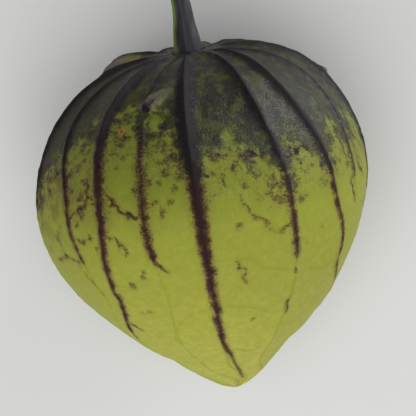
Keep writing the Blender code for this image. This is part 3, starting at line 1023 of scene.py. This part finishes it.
        mark(mesh, "net", np.minimum(vein_gap, rib_gap) / MM)
        mark(mesh, "hook", hook)
        # How far down the fruit each place lies; the greens brighten along it, partly with a painted glow.
        mark(mesh, "fall_and_glow", depth / form.length)
        # The left side's brown, which is partly painted shade.
        mark(mesh, "left_brown_and_shade", marks.left_brown_and_shade(angle, depth))
        mark(mesh, "scar", self.gap_to(self.scar, bare) / MM)
        return rib_gap, vein_gap

    def blot_tint(self, blots: VeinTrail, bare: Array, depth: Array) -> Array:
        """Tint of the purple veins and spots, whose edges wobble down to the beak.

        Args:
            blots: The veins and spots.
            bare: Each place on the bare outline, as rows of x, y and z.
            depth: Depth of each place.

        Returns:
            A tint for each place.
        """
        wobble = np.stack([ripples(bare, self.blot_length, seed) for seed in self.blot_seeds], axis=-1)
        steady = 1.0 - smooth_step(depth, *self.blot_fade)
        return blots.tint(bare + self.blot_wobble * steady[:, None] * wobble)

    def gap_to(self, spot: Pair, bare: Array) -> Array:
        """Distance from each place on the bare outline to a spot at an angle and a depth.

        Args:
            spot: The angle and the depth.
            bare: Each place on the bare outline, as rows of x, y and z.

        Returns:
            A distance for each place.
        """
        angle, depth = spot
        place = self.form.bare_place(np.array([angle]), self.form.run_at_depth(np.array([depth])))
        return np.linalg.norm(bare - place[0], axis=1)

    def fit_socket(self, points: Array, angle: Array, ring: Array, inner: int) -> Array:
        """Takes the first rings down round the stalk's foot, into a plain socket.

        Args:
            points: The skin's places.
            angle: Angle of each vertex.
            ring: Ring of each vertex.
            inner: How many rings lie in the socket.

        Returns:
            The places, with those of the socket in them.
        """
        turn = np.radians(angle)
        size = np.array(self.socket)[np.minimum(ring, inner - 1)]
        plain = np.stack([size[:, 0] * np.sin(turn), -size[:, 0] * np.cos(turn), -size[:, 1]], axis=-1)
        return np.where((ring < inner)[:, None], plain, points)


@dataclass
class Stalk:
    """The cut stalk: a tapered, faintly ridged tube with a plain cut end and a slight bend."""

    form: HuskForm = field(default_factory=HuskForm)
    length: float = 14.0 * MM
    radius: float = 1.1 * MM
    flare: float = 1.0 * MM
    flare_reach: float = 4.8 * MM
    flare_sharpness: float = 1.3
    bend: float = 1.6 * MM
    droop: float = 0.6 * MM
    bend_start: float = 5.0 * MM
    foot: float = -0.9 * MM
    sides: int = 96
    rings: int = 110
    ridges: int = 5
    ridge_height: float = 0.035
    ridge_twist: float = 0.5
    ridge_fade: Pair = (0.2, 1.0)
    knob_height: float = 0.012
    knob_length: float = 1.5 * MM
    knob_stretch: tuple[float, float, float] = (1.0, 1.0, 0.5)
    knob_seed: int = 9
    edge_inset: float = 0.22 * MM
    pith_depth: float = 0.12 * MM
    sharp_angle: float = math.radians(50.0)

    def build(self) -> bpy.types.Object:
        """Makes the stalk as one closed mesh, from a circle extruded ring by ring, and dresses it.

        Returns:
            The stalk, at the origin, with its place in its mesh.
        """
        deselect_all()
        bpy.ops.mesh.primitive_circle_add(vertices=self.sides, radius=self.radius, fill_type="NGON",
                                          location=(0.0, 0.0, self.foot))
        stalk = bpy.context.object
        stalk.name = stalk.data.name = "stalk_dressed"
        bpy.ops.object.transform_apply(location=True)
        bpy.ops.object.mode_set(mode="EDIT")
        bpy.ops.mesh.select_all(action="SELECT")
        step = (self.length - self.foot) / self.rings
        for _ in range(self.rings):
            bpy.ops.mesh.extrude_region_move(TRANSFORM_OT_translate={"value": (0.0, 0.0, step)})
        for depth in (0.0, -self.pith_depth, 0.0):
            bpy.ops.mesh.inset(thickness=self.edge_inset, depth=depth)
        bpy.ops.mesh.select_all(action="SELECT")
        bpy.ops.mesh.normals_make_consistent(inside=False)
        bpy.ops.object.mode_set(mode="OBJECT")
        self.shape(stalk.data)
        stalk.data.shade_smooth()
        stalk.data.set_sharp_from_angle(angle=self.sharp_angle)
        StalkFinish().material().dress(stalk)
        return stalk

    def shape(self, mesh: bpy.types.Mesh) -> None:
        """Flares, ridges and bends the straight tube, stores its marks and lays it down.

        Args:
            mesh: The straight tube's mesh.
        """
        points = places_of(mesh)
        across, toward, height = points.T
        turn = np.arctan2(across, -toward)
        on_end = height > self.length - 2.0 * self.pith_depth
        # Which way each place faces across the stalk; its material puts a painted glow of green light on the
        # left side.
        mark(mesh, "side", np.sin(turn))
        mark(mesh, "core", np.where(on_end, np.hypot(across, toward) / self.radius, 1.0))

        spread = np.exp(-((np.maximum(height, 0.0) / self.flare_reach) ** self.flare_sharpness))
        size = (self.radius + self.flare * spread) / self.radius
        ridge = self.ridge_height * np.cos(self.ridges * turn + self.ridge_twist * height / self.length)
        ridge = ridge * np.clip(sum(self.ridge_fade) - spread, *self.ridge_fade)
        knobs = ripples(points * np.array(self.knob_stretch), self.knob_length, self.knob_seed)
        size = size * (1.0 + ridge - self.ridge_height + self.knob_height * knobs)
        bend = (np.maximum(height - self.bend_start, 0.0) / (self.length - self.bend_start)) ** 2
        down = self.form.down()
        x = across * size - self.bend * bend
        y = toward * size + down[1] * self.droop * bend
        z = height + down[2] * self.droop * bend
        self.form.settle(mesh, np.stack([x, y, z], axis=-1), "stalk")


Operand = Union["Signal", float, Colour]


class Signal:
    """A value or a colour in a shader, on which maths is written as in Python."""

    def __init__(self, graph: "ShaderGraph", socket: bpy.types.NodeSocket) -> None:
        """Wraps an output socket of a graph's node."""
        self.graph = graph
        self.socket = socket

    def maths(self, operation: str, first: Operand, second: Operand) -> "Signal":
        """Adds a Math node and returns its result."""
        return self.graph.node("ShaderNodeMath", {"operation": operation}, {0: first, 1: second})

    def __add__(self, other: Operand) -> "Signal":
        """This value plus another."""
        return self.maths("ADD", self, other)

    def __radd__(self, other: Operand) -> "Signal":
        """Another value plus this one."""
        return self.maths("ADD", other, self)

    def __sub__(self, other: Operand) -> "Signal":
        """This value less another."""
        return self.maths("SUBTRACT", self, other)

    def __rsub__(self, other: Operand) -> "Signal":
        """Another value less this one."""
        return self.maths("SUBTRACT", other, self)

    def __mul__(self, other: Operand) -> "Signal":
        """This value times another."""
        return self.maths("MULTIPLY", self, other)

    def __rmul__(self, other: Operand) -> "Signal":
        """Another value times this one."""
        return self.maths("MULTIPLY", other, self)

    def highest(self, other: Operand) -> "Signal":
        """The larger of this value and another."""
        return self.maths("MAXIMUM", self, other)

    def rise(self, start: float, end: float) -> "Signal":
        """0 below the start and 1 above the end, or the other way round if the end comes first.

        Args:
            start: Where the rise begins.
            end: Where it is complete.

        Returns:
            The signal from 0 to 1.
        """
        up = start < end
        sides = (0.0, 1.0) if up else (1.0, 0.0)
        settings = {"interpolation_type": "SMOOTHSTEP", "clamp": True}
        inputs = {"Value": self, "From Min": min(start, end), "From Max": max(start, end),
                  "To Min": sides[0], "To Max": sides[1]}
        return self.graph.node("ShaderNodeMapRange", settings, inputs)


class ShaderGraph:
    """A material's nodes, with one method that adds any node and short names for the common ones."""

    def __init__(self, name: str) -> None:
        """Makes a material with a bare Principled shader.

        Args:
            name: The material's name.
        """
        self.material = bpy.data.materials.new(name)
        self.material.use_nodes = True
        self.tree = self.material.node_tree
        self.shader = self.tree.nodes["Principled BSDF"]
        self.place: Optional[Signal] = None

    def node(self, kind: str, settings: dict[str, Any], inputs: dict[Union[str, int], Operand],
             output: Union[str, int] = 0) -> Signal:
        """Adds a node.

        Args:
            kind: The node's type.
            settings: Its properties, set first; stops are a ramp's places and colours.
            inputs: A number, a colour or a signal for each input named or numbered.
            output: The output to return.

        Returns:
            The signal of that output.
        """
        node = self.tree.nodes.new(kind)
        for key, value in settings.items():
            if key == "stops":
                self.set_stops(node.color_ramp, value)
            else:
                setattr(node, key, value)
        for key, value in inputs.items():
            self.feed(node.inputs[key], value)
        return Signal(self, node.outputs[output])

    def feed(self, socket: bpy.types.NodeSocket, value: Operand) -> None:
        """Links a signal to an input, or sets the input to a plain value.

        Args:
            socket: The input.
            value: A signal, a number, a colour or a vector.
        """
        if isinstance(value, Signal):
            self.tree.links.new(value.socket, socket)
        elif isinstance(value, tuple) and socket.type == "RGBA":
            socket.default_value = (*value, 1.0)
        else:
            socket.default_value = value

    def set_stops(self, ramp: bpy.types.ColorRamp, stops: Stops) -> None:
        """Sets a ramp's places and colours.

        Args:
            ramp: The ramp.
            stops: A place and a colour for each stop.
        """
        for number, (place, colour) in enumerate(stops):
            stop = ramp.elements[number] if number < 2 else ramp.elements.new(place)
            stop.position = place
            stop.color = (*colour, 1.0)

    def mark(self, name: str) -> Signal:
        """The number that the mesh stores under a name."""
        return self.node("ShaderNodeAttribute", {"attribute_name": name}, {}, "Fac")

    def noise(self, size: float, detail: float = 2.0, rough: float = 0.5,
              place: Optional[Signal] = None) -> Signal:
        """Random clouds of about a size, from 0 to 1.

        Args:
            size: Size of a cloud.
            detail: How many finer layers are added.
            rough: How strong those layers are.
            place: Where to read the clouds, if not at the surface itself.

        Returns:
            The clouds' value.
        """
        inputs = {"Vector": place or self.here(), "Scale": 1.0 / size, "Detail": detail, "Roughness": rough}
        return self.node("ShaderNodeTexNoise", {}, inputs)

    def here(self) -> Signal:
        """The place on the piece, in metres.

        Returns:
            The place, which is looked up only once.
        """
        if self.place is None:
            self.place = self.node("ShaderNodeTexCoord", {}, {}, "Object")
        return self.place

    def along_fruit(self, stretch: float) -> Signal:
        """The place, shrunk along the fruit's axis so that patterns are drawn out that way.

        Args:
            stretch: How many times longer the patterns are.

        Returns:
            The shrunk place.
        """
        settings = {"vector_type": "POINT"}
        inputs = {"Vector": self.here(), "Scale": (1.0, 1.0 / stretch, 1.0)}
        return self.node("ShaderNodeMapping", settings, inputs)

    def mix(self, share: Operand, first: Operand, second: Operand) -> Signal:
        """The first colour, with a share of the second over it."""
        return self.node("ShaderNodeMix", {"data_type": "RGBA"}, {0: share, 6: first, 7: second}, 2)

    def tinted(self, colour: Signal, filter_colour: Operand) -> Signal:
        """The colour as it shows through a coloured filter."""
        settings = {"data_type": "RGBA", "blend_type": "MULTIPLY"}
        return self.node("ShaderNodeMix", settings, {0: 1.0, 6: colour, 7: filter_colour}, 2)

    def ramp(self, value: Signal, stops: Stops) -> Signal:
        """A colour for a value, from a ramp."""
        return self.node("ShaderNodeValToRGB", {"stops": stops}, {"Fac": value})

    def bump(self, height: Signal, distance: float, strength: float, over: Optional[Signal] = None) -> Signal:
        """A normal that rises with a height, over another normal if one is given.

        Args:
            height: The height.
            distance: How high a height of 1 stands.
            strength: How much of it shows.
            over: The other normal.

        Returns:
            The normal.
        """
        inputs: dict[Union[str, int], Operand] = {
            "Height": height, "Distance": distance, "Strength": strength,
        }
        if over is not None:
            inputs["Normal"] = over
        return self.node("ShaderNodeBump", {}, inputs)

    def dress(self, piece: bpy.types.Object) -> None:
        """Gives the material to a piece, in place of any other."""
        piece.data.materials.clear()
        piece.data.materials.append(self.material)

    def shade(self, inputs: dict[str, Operand]) -> None:
        """Feeds the shader: signals are linked, and plain values are set on its own sockets."""
        for name, value in inputs.items():
            self.feed(self.shader.inputs[name], value)


@dataclass(frozen=True)
class Layer:
    """A colour that lies over another where a signal goes from its start to its end."""

    colour: Colour
    strength: float
    start: float
    end: float

    def over(self, below: Operand, cover: Signal, within: Optional[Signal] = None) -> Signal:
        """Lays this colour over another.

        Args:
            below: The colour underneath.
            cover: The signal that says where this one lies.
            within: A second signal, from 0 to 1, that weakens it.

        Returns:
            The mixed colour.
        """
        share = cover.rise(self.start, self.end) * self.strength
        if within is not None:
            share = share * within
        return cover.graph.mix(share, below, self.colour)


class SkinNoise:
    """The noises of the husk's skin, each made once: grain, speck, mottle, streak, blotch and fuzz."""

    def __init__(self, graph: ShaderGraph, finish: "HuskFinish") -> None:
        """Makes the noises in the sizes that the finish gives.

        Args:
            graph: The graph of the skin's material.
            finish: The finish that says how large they are.
        """
        self.grain = graph.noise(finish.grain, 1.0)
        self.speck = graph.noise(finish.speck, 3.0, 0.6)
        self.mottle = graph.noise(finish.mottle, 4.0, 0.6)
        self.streak = graph.noise(finish.speck, 2.0, 0.5, graph.along_fruit(finish.streak_stretch))
        self.blotch = graph.noise(finish.blotch, 3.0, 0.55)
        self.swings = {
            "grain": self.grain - 0.5, "speck": self.speck - 0.5, "mottle": self.mottle - 0.5,
            "streak": self.streak - 0.5, "blotch": self.blotch - 0.5,
        }
        self.swings["fuzz"] = self.stir(0.0, speck=1.1, grain=0.9)

    def stir(self, value: Operand, **shares: float) -> Signal:
        """Moves a value to and fro by the noises named.

        Args:
            value: The value.
            shares: How much of each named noise is added. Each noise swings about zero.

        Returns:
            The stirred value.
        """
        for name, share in shares.items():
            value = value + self.swings[name] * share
        return value


@dataclass(frozen=True)
class HuskFinish:
    """The husk's skin: papery green with purple ribs, a dark mottled crown and a fine grain; its colours also
    hold painted light: a glow towards the tip, shade on the left side and a highlight on the hooks' domes.

    The limits say where a signal starts to show and where it shows in full, and a bump is its height and
    its strength.
    """

    # Greens down the fruit, from the seat (0) to the tip (1): darker olive near the crown and brighter
    # yellow-green towards the tip, partly the husk's own colour and partly a painted glow of light shining
    # through the papery husk.
    greens_and_glow: Stops = (
        (0.0, (0.17, 0.2, 0.028)), (0.09, (0.13, 0.16, 0.022)), (0.17, (0.135, 0.17, 0.022)),
        (0.3, (0.185, 0.215, 0.022)), (0.42, (0.265, 0.285, 0.032)), (0.6, (0.298, 0.303, 0.043)),
        (0.8, (0.355, 0.35, 0.055)), (1.0, (0.395, 0.382, 0.069)),
    )
    stain: Stops = (
        (0.0, (1.0, 1.0, 1.0)), (0.2, (0.84, 0.72, 0.9)), (0.45, (0.56, 0.365, 0.8)),
        (0.72, (0.29, 0.145, 0.56)), (1.0, (0.145, 0.062, 0.37)),
    )
    # A brown that is the husk's own tint in the haze by the ribs, and partly painted shade in the patches on
    # the left side.
    brown_and_shade_colour: Colour = (0.108, 0.058, 0.03)
    brown_and_shade_patches: Layer = Layer(brown_and_shade_colour, 0.95, 0.0, 1.0)
    patch_level: float = 0.72
    haze: Layer = Layer(brown_and_shade_colour, 0.35, -0.7, 1.2)
    haze_crown: float = 0.4
    pale_streak: Layer = Layer((0.5, 0.48, 0.14), 0.14, 0.5, 0.8)
    deep_green: Layer = Layer((0.17, 0.21, 0.014), 0.2, 0.62, 0.44)
    vein_green: Colour = (0.22, 0.27, 0.016)
    fine_net: Layer = Layer(vein_green, 0.15, 0.1, 0.0)
    vein: Layer = Layer(vein_green, 0.68, 0.34, 0.02)
    crown_dark: Colour = (0.012, 0.0095, 0.0105)
    crown_olive: Layer = Layer((0.046, 0.05, 0.012), 1.0, 0.47, 0.59)
    crown_grey: Layer = Layer((0.05, 0.045, 0.034), 0.35, 0.52, 0.78)
    # The crown's brown towards the left side, partly its own tint and partly painted shade.
    crown_brown_and_shade: Colour = (0.026, 0.019, 0.011)
    brown_share: float = 0.65
    crown_limits: Pair = (-0.05, 1.0)
    crown_cover: float = 0.95
    fringe_below: Pair = (-1.6, -0.2)
    fringe_above: Pair = (1.4, 0.4)
    fringe_gain: float = 0.58
    fleck_level: float = -0.5
    stain_limits: Pair = (-0.1, 1.05)
    # Pale grey on the hooks' domes: partly the husk's paler tone and partly a painted highlight on their
    # tops.
    hook_grey_and_highlight: Colour = (0.1, 0.102, 0.06)
    hook_limits: Pair = (0.25, 0.7)
    hook_cover: float = 0.8
    deep_stain: Layer = Layer(crown_dark, 0.9, 0.2, 0.9)
    deep_limits: Pair = (-0.4, 0.8)
    scar_ring: Layer = Layer((0.3, 0.15, 0.03), 0.7, 0.8, 0.3)
    scar_middle: Layer = Layer(crown_dark, 0.9, 0.3, 0.1)
    grain: float = 0.13 * MM
    speck: float = 0.32 * MM
    mottle: float = 1.05 * MM
    blotch: float = 2.4 * MM
    cloud: float = 5.0 * MM
    mesh_cell: float = 2.3 * MM
    streak_stretch: float = 7.0
    fall_and_glow_shift: float = 0.12
    roughness: float = 0.6
    crown_polish: float = 0.2
    stain_roughness: float = 0.35
    rough_limits: Pair = (0.35, 0.85)
    grainy_limits: Pair = (0.2, 0.9)
    grainy_stain: float = 0.5
    relief_least: float = 0.3
    fine_bump: Pair = (0.1 * MM, 0.9)
    coarse_bump: Pair = (0.08 * MM, 0.7)
    gloss: float = 0.13
    refraction: float = 1.45
    glow: float = 0.14
    glow_depth: float = 1.0 * MM
    glow_colour: Colour = (1.0, 0.9, 0.2)

    def material(self) -> ShaderGraph:
        """Builds the skin's material.

        Returns:
            The graph, ready to dress the husk.
        """
        graph = ShaderGraph("husk_skin_finish")
        noise = SkinNoise(graph, self)
        crown_mark = graph.mark("crown")
        crown = noise.stir(crown_mark, mottle=2.2, blotch=3.4, fuzz=0.8).rise(*self.crown_limits)
        tint = noise.stir(graph.mark("tint"), fuzz=1.0, mottle=0.3).highest(self.flecks(noise, crown_mark))
        pale = graph.mark("hook").rise(*self.hook_limits)

        haze = noise.stir(graph.mark("tint") + crown_mark.highest(0.0) * self.haze_crown, fuzz=0.5)
        colour = self.haze.over(self.panel(graph, noise), haze)
        colour = graph.mix(crown * self.crown_cover, colour, self.crown_colour(graph, noise))
        # The hooks' domes turn pale grey: partly their own tone, partly a painted highlight.
        colour = graph.mix(pale * self.hook_cover, colour, self.hook_grey_and_highlight)
        colour = graph.tinted(colour, graph.ramp(tint.rise(*self.stain_limits), self.stain))
        colour = self.deep_stain.over(colour, tint, crown_mark.rise(*self.deep_limits) * (1.0 - pale))
        scar = noise.stir(graph.mark("scar"), grain=0.5)
        colour = self.scar_middle.over(self.scar_ring.over(colour, scar), scar)

        rough = noise.stir(self.roughness - crown * self.crown_polish, speck=0.3, grain=0.2)
        grainy = crown.highest(tint.rise(*self.grainy_limits) * self.grainy_stain)
        graph.shade({
            "Base Color": colour,
            "Roughness": rough + tint.rise(*self.rough_limits) * self.stain_roughness,
            "Normal": self.relief(graph, noise, grainy),
            "Subsurface Weight": self.glow, "Subsurface Radius": self.glow_colour,
            "Subsurface Scale": self.glow_depth, "IOR": self.refraction, "Specular IOR Level": self.gloss,
        })
        return graph

    def flecks(self, noise: SkinNoise, crown: Signal) -> Signal:
        """The purple-brown flecks, thickest in a fringe just below the crown."""
        fringe = crown.rise(*self.fringe_below) * crown.rise(*self.fringe_above)
        return noise.stir(fringe * self.fringe_gain + self.fleck_level, fuzz=0.9, mottle=1.8, blotch=0.8)

    def panel(self, graph: ShaderGraph, noise: SkinNoise) -> Signal:
        """The green of the panels between the ribs, brighter towards the tip with a partly painted glow, with
        brown patches on the left side that are partly painted shade, its streaks and its net of veins.

        Args:
            graph: The graph of the skin's material.
            noise: The skin's noises.

        Returns:
            The panels' colour.
        """
        cloud = graph.noise(self.cloud)
        # Green by how far down the fruit: brighter towards the tip, partly own colour and partly painted
        # glow.
        colour = graph.ramp(graph.mark("fall_and_glow") + (cloud - 0.5) * self.fall_and_glow_shift, self.greens_and_glow)
        patch = noise.stir(self.patch_level, blotch=4.0, mottle=3.0, streak=0.8)
        # Brown patches towards the left side: partly the husk's own tint, partly painted shade.
        colour = self.brown_and_shade_patches.over(colour, patch, graph.mark("left_brown_and_shade"))
        colour = self.pale_streak.over(colour, noise.streak)
        colour = self.deep_green.over(colour, noise.mottle)
        cell = graph.node("ShaderNodeTexVoronoi", {"feature": "DISTANCE_TO_EDGE"},
                          {"Vector": graph.here(), "Scale": 1.0 / self.mesh_cell}, "Distance")
        colour = self.fine_net.over(colour, cell)
        return self.vein.over(colour, noise.stir(graph.mark("net"), mottle=0.35, grain=0.15))

    def crown_colour(self, graph: ShaderGraph, noise: SkinNoise) -> Signal:
        """The dark crown: olive blotches and grey specks, and browner towards the left side, partly its own
        tint and partly painted shade.

        Args:
            graph: The graph of the skin's material.
            noise: The skin's noises.

        Returns:
            The crown's colour.
        """
        dark = self.crown_olive.over(self.crown_dark, noise.mottle * 0.5 + noise.blotch * 0.5)
        dark = self.crown_grey.over(dark, noise.speck)
        # Browner towards the left side: partly own tint, partly painted shade.
        return graph.mix(graph.mark("left_brown_and_shade") * self.brown_share, dark, self.crown_brown_and_shade)

    def relief(self, graph: ShaderGraph, noise: SkinNoise, dark: Signal) -> Signal:
        """The papery grain, which is stronger on dark skin.

        Args:
            graph: The graph of the skin's material.
            noise: The skin's noises.
            dark: How dark the skin is, from 0 to 1.

        Returns:
            The normal.
        """
        weight = self.relief_least + dark * (1.0 - self.relief_least)
        fine = graph.bump(noise.grain * weight, *self.fine_bump)
        coarse = noise.speck + noise.streak * 0.3 + noise.mottle * 0.6
        return graph.bump(coarse * weight, *self.coarse_bump, fine)


@dataclass(frozen=True)
class StalkFinish:
    """The stalk's skin: smooth dark purple with a painted glow of green light on its left side, and a pale
    cut end with its pith.
    """

    purple: Colour = (0.014, 0.013, 0.017)
    violet: Layer = Layer((0.03, 0.027, 0.034), 1.0, 0.35, 0.7)
    # Green on the stalk's left side: a painted glow of light shining through the stalk.
    green: Layer = Layer((0.12, 0.2, 0.02), 0.85, 0.6, 0.98)
    wood: Colour = (0.42, 0.44, 0.2)
    pith: Layer = Layer((0.6, 0.62, 0.38), 1.0, 0.62, 0.5)
    bark_edge: Pair = (0.93, 0.86)
    streak: float = 0.35 * MM
    streak_stretch: float = 9.0
    cloud: float = 2.5 * MM
    grain: float = 0.25 * MM
    roughness: float = 0.45
    bump: Pair = (0.08 * MM, 0.4)
    gloss: float = 0.26
    refraction: float = 1.45

    def material(self) -> ShaderGraph:
        """Builds the stalk's material.

        Returns:
            The graph, ready to dress the stalk.
        """
        graph = ShaderGraph("stalk_finish")
        streak = graph.noise(self.streak, 3.0, 0.6, graph.along_fruit(self.streak_stretch))
        cloud = graph.noise(self.cloud)
        grain = graph.noise(self.grain, 1.0)
        side = graph.mark("side") * -1.0 + (cloud - 0.5) * 0.4 + (streak - 0.5) * 0.3
        bark = self.green.over(self.violet.over(self.purple, streak), side)
        core = graph.mark("core") + (grain - 0.5) * 0.1
        cut = self.pith.over(self.wood, core)
        graph.shade({
            "Base Color": graph.mix(core.rise(*self.bark_edge), bark, cut),
            "Roughness": self.roughness + (streak - 0.5) * 0.2,
            "Normal": graph.bump(streak + grain * 0.4, *self.bump),
            "IOR": self.refraction, "Specular IOR Level": self.gloss,
        })
        return graph


@dataclass(frozen=True)
class Lamp:
    """A soft lamp: its place, the size of its face, its power in watts and the colour of its light."""

    name: str
    place: tuple[float, float, float]
    size: Pair
    power: float
    colour: Colour = (1.0, 1.0, 1.0)
    gloss_only: bool = False

    def hang(self, aim: Vector) -> None:
        """Hangs the lamp, facing a point.

        Args:
            aim: The point that the lamp faces.
        """
        data = bpy.data.lights.new(self.name, "AREA")
        data.shape = "RECTANGLE"
        data.size, data.size_y = self.size
        data.energy = self.power
        data.color = self.colour
        lamp = bpy.data.objects.new(self.name, data)
        bpy.context.scene.collection.objects.link(lamp)
        lamp.location = self.place
        lamp.rotation_mode = "QUATERNION"
        lamp.rotation_quaternion = (Vector(self.place) - aim).to_track_quat("Z", "Y")
        lamp.visible_camera = False
        lamp.visible_diffuse = not self.gloss_only


@dataclass
class Studio:
    """The pale floor, the soft lamps and the camera that looks down as the photograph does.

    Two lamps stand low on the right, for the gloss there, and three wide ones light the fruit from
    above, from the front and from the left.
    """

    form: HuskForm = field(default_factory=HuskForm)
    floor_size: float = 4.0
    floor_gap: float = 0.1 * MM
    floor_colours: tuple[Colour, Colour] = ((0.66, 0.66, 0.65), (0.6, 0.6, 0.59))
    floor_cloud: float = 60.0 * MM
    floor_cloud_share: float = 0.08
    floor_roughness: float = 0.9
    floor_gloss: float = 0.1
    lamps: tuple[Lamp, ...] = (
        Lamp("key", (0.52, 0.42, 0.09), (0.26, 0.16), 2.4, (1.0, 0.98, 0.95)),
        Lamp("glint", (0.58, 0.37, 0.06), (0.16, 0.1), 10.0, gloss_only=True),
        Lamp("top", (-0.1, -0.25, 0.9), (0.9, 0.9), 6.8),
        Lamp("fill", (0.35, -0.7, 0.32), (0.6, 0.6), 1.9, (0.98, 0.99, 1.0)),
        Lamp("side", (-0.65, -0.4, 0.22), (0.5, 0.4), 1.1, (1.0, 1.0, 0.98)),
    )
    lamp_aim: tuple[float, float, float] = (0.0, 0.0, 22.0 * MM)
    surroundings: Colour = (0.9, 0.92, 0.95)
    surroundings_strength: float = 0.3
    camera_height: float = 300.0 * MM
    camera_near: float = 0.01
    pixel: float = 0.138 * MM
    seat_pixel: Pair = (188.4, 50.8)
    roll: float = math.radians(8.5)
    sensor: float = 36.0

    def build(self) -> None:
        """Makes the floor, the lamps, the surroundings and the camera."""
        self.lay_floor()
        for lamp in self.lamps:
            lamp.hang(Vector(self.lamp_aim))
        self.light_surroundings()
        self.set_camera()

    def lay_floor(self) -> None:
        """A large plain floor just under the fruit."""
        deselect_all()
        bpy.ops.mesh.primitive_plane_add(size=self.floor_size, location=(0.0, 0.0, -self.floor_gap))
        floor = bpy.context.object
        floor.name = "floor"
        graph = ShaderGraph("floor_finish")
        cloud = graph.noise(self.floor_cloud) * self.floor_cloud_share
        graph.shade({"Base Color": graph.mix(cloud, *self.floor_colours),
                     "Roughness": self.floor_roughness, "Specular IOR Level": self.floor_gloss})
        graph.dress(floor)

    def light_surroundings(self) -> None:
        """An even pale light from all round."""
        world = bpy.data.worlds.new("surroundings")
        world.use_nodes = True
        back = world.node_tree.nodes["Background"]
        back.inputs["Color"].default_value = (*self.surroundings, 1.0)
        back.inputs["Strength"].default_value = self.surroundings_strength
        bpy.context.scene.world = world
        bpy.context.scene.view_settings.view_transform = "Standard"

    def set_camera(self) -> None:
        """A long lens above the stalk's seat, aimed at the middle of the photograph."""
        seat = Vector(self.form.lay_down(np.zeros((1, 3)))[0])
        right = Vector((math.cos(self.roll), -math.sin(self.roll), 0.0))
        up = Vector((math.sin(self.roll), math.cos(self.roll), 0.0))
        middle = PHOTO_SIDE / 2
        aim = seat + right * (middle - self.seat_pixel[0]) * self.pixel
        aim = aim - up * (middle - self.seat_pixel[1]) * self.pixel
        eye = seat + Vector((0.0, 0.0, self.camera_height))
        back = (eye - aim).normalized()
        across = up.cross(back).normalized()
        data = bpy.data.cameras.new("camera")
        data.sensor_width = self.sensor
        data.lens = self.sensor * (eye - aim).length / (PHOTO_SIDE * self.pixel)
        data.clip_start = self.camera_near
        camera = bpy.data.objects.new("camera", data)
        bpy.context.scene.collection.objects.link(camera)
        camera.matrix_world = Matrix((across, back.cross(across), back)).transposed().to_4x4()
        camera.location = eye
        bpy.context.scene.camera = camera


def main() -> None:
    """Builds the studio and the pieces in order, hangs each piece under the root body and hides the imported
    part that it stands for.
    """
    logging.basicConfig(level=logging.INFO, format="%(name)s: %(message)s")
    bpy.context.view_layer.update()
    Studio().build()
    pieces = ((Husk().build(), "husk", "husk_skin"), (Stalk().build(), "stalk", "stalk_skin"))
    for piece, node, slot in pieces:
        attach(piece, "root")
        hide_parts(node)
        log.info("%s: %d faces, stands for %s", piece.name, len(piece.data.polygons), node)
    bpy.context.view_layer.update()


if __name__ == "__main__":
    main()
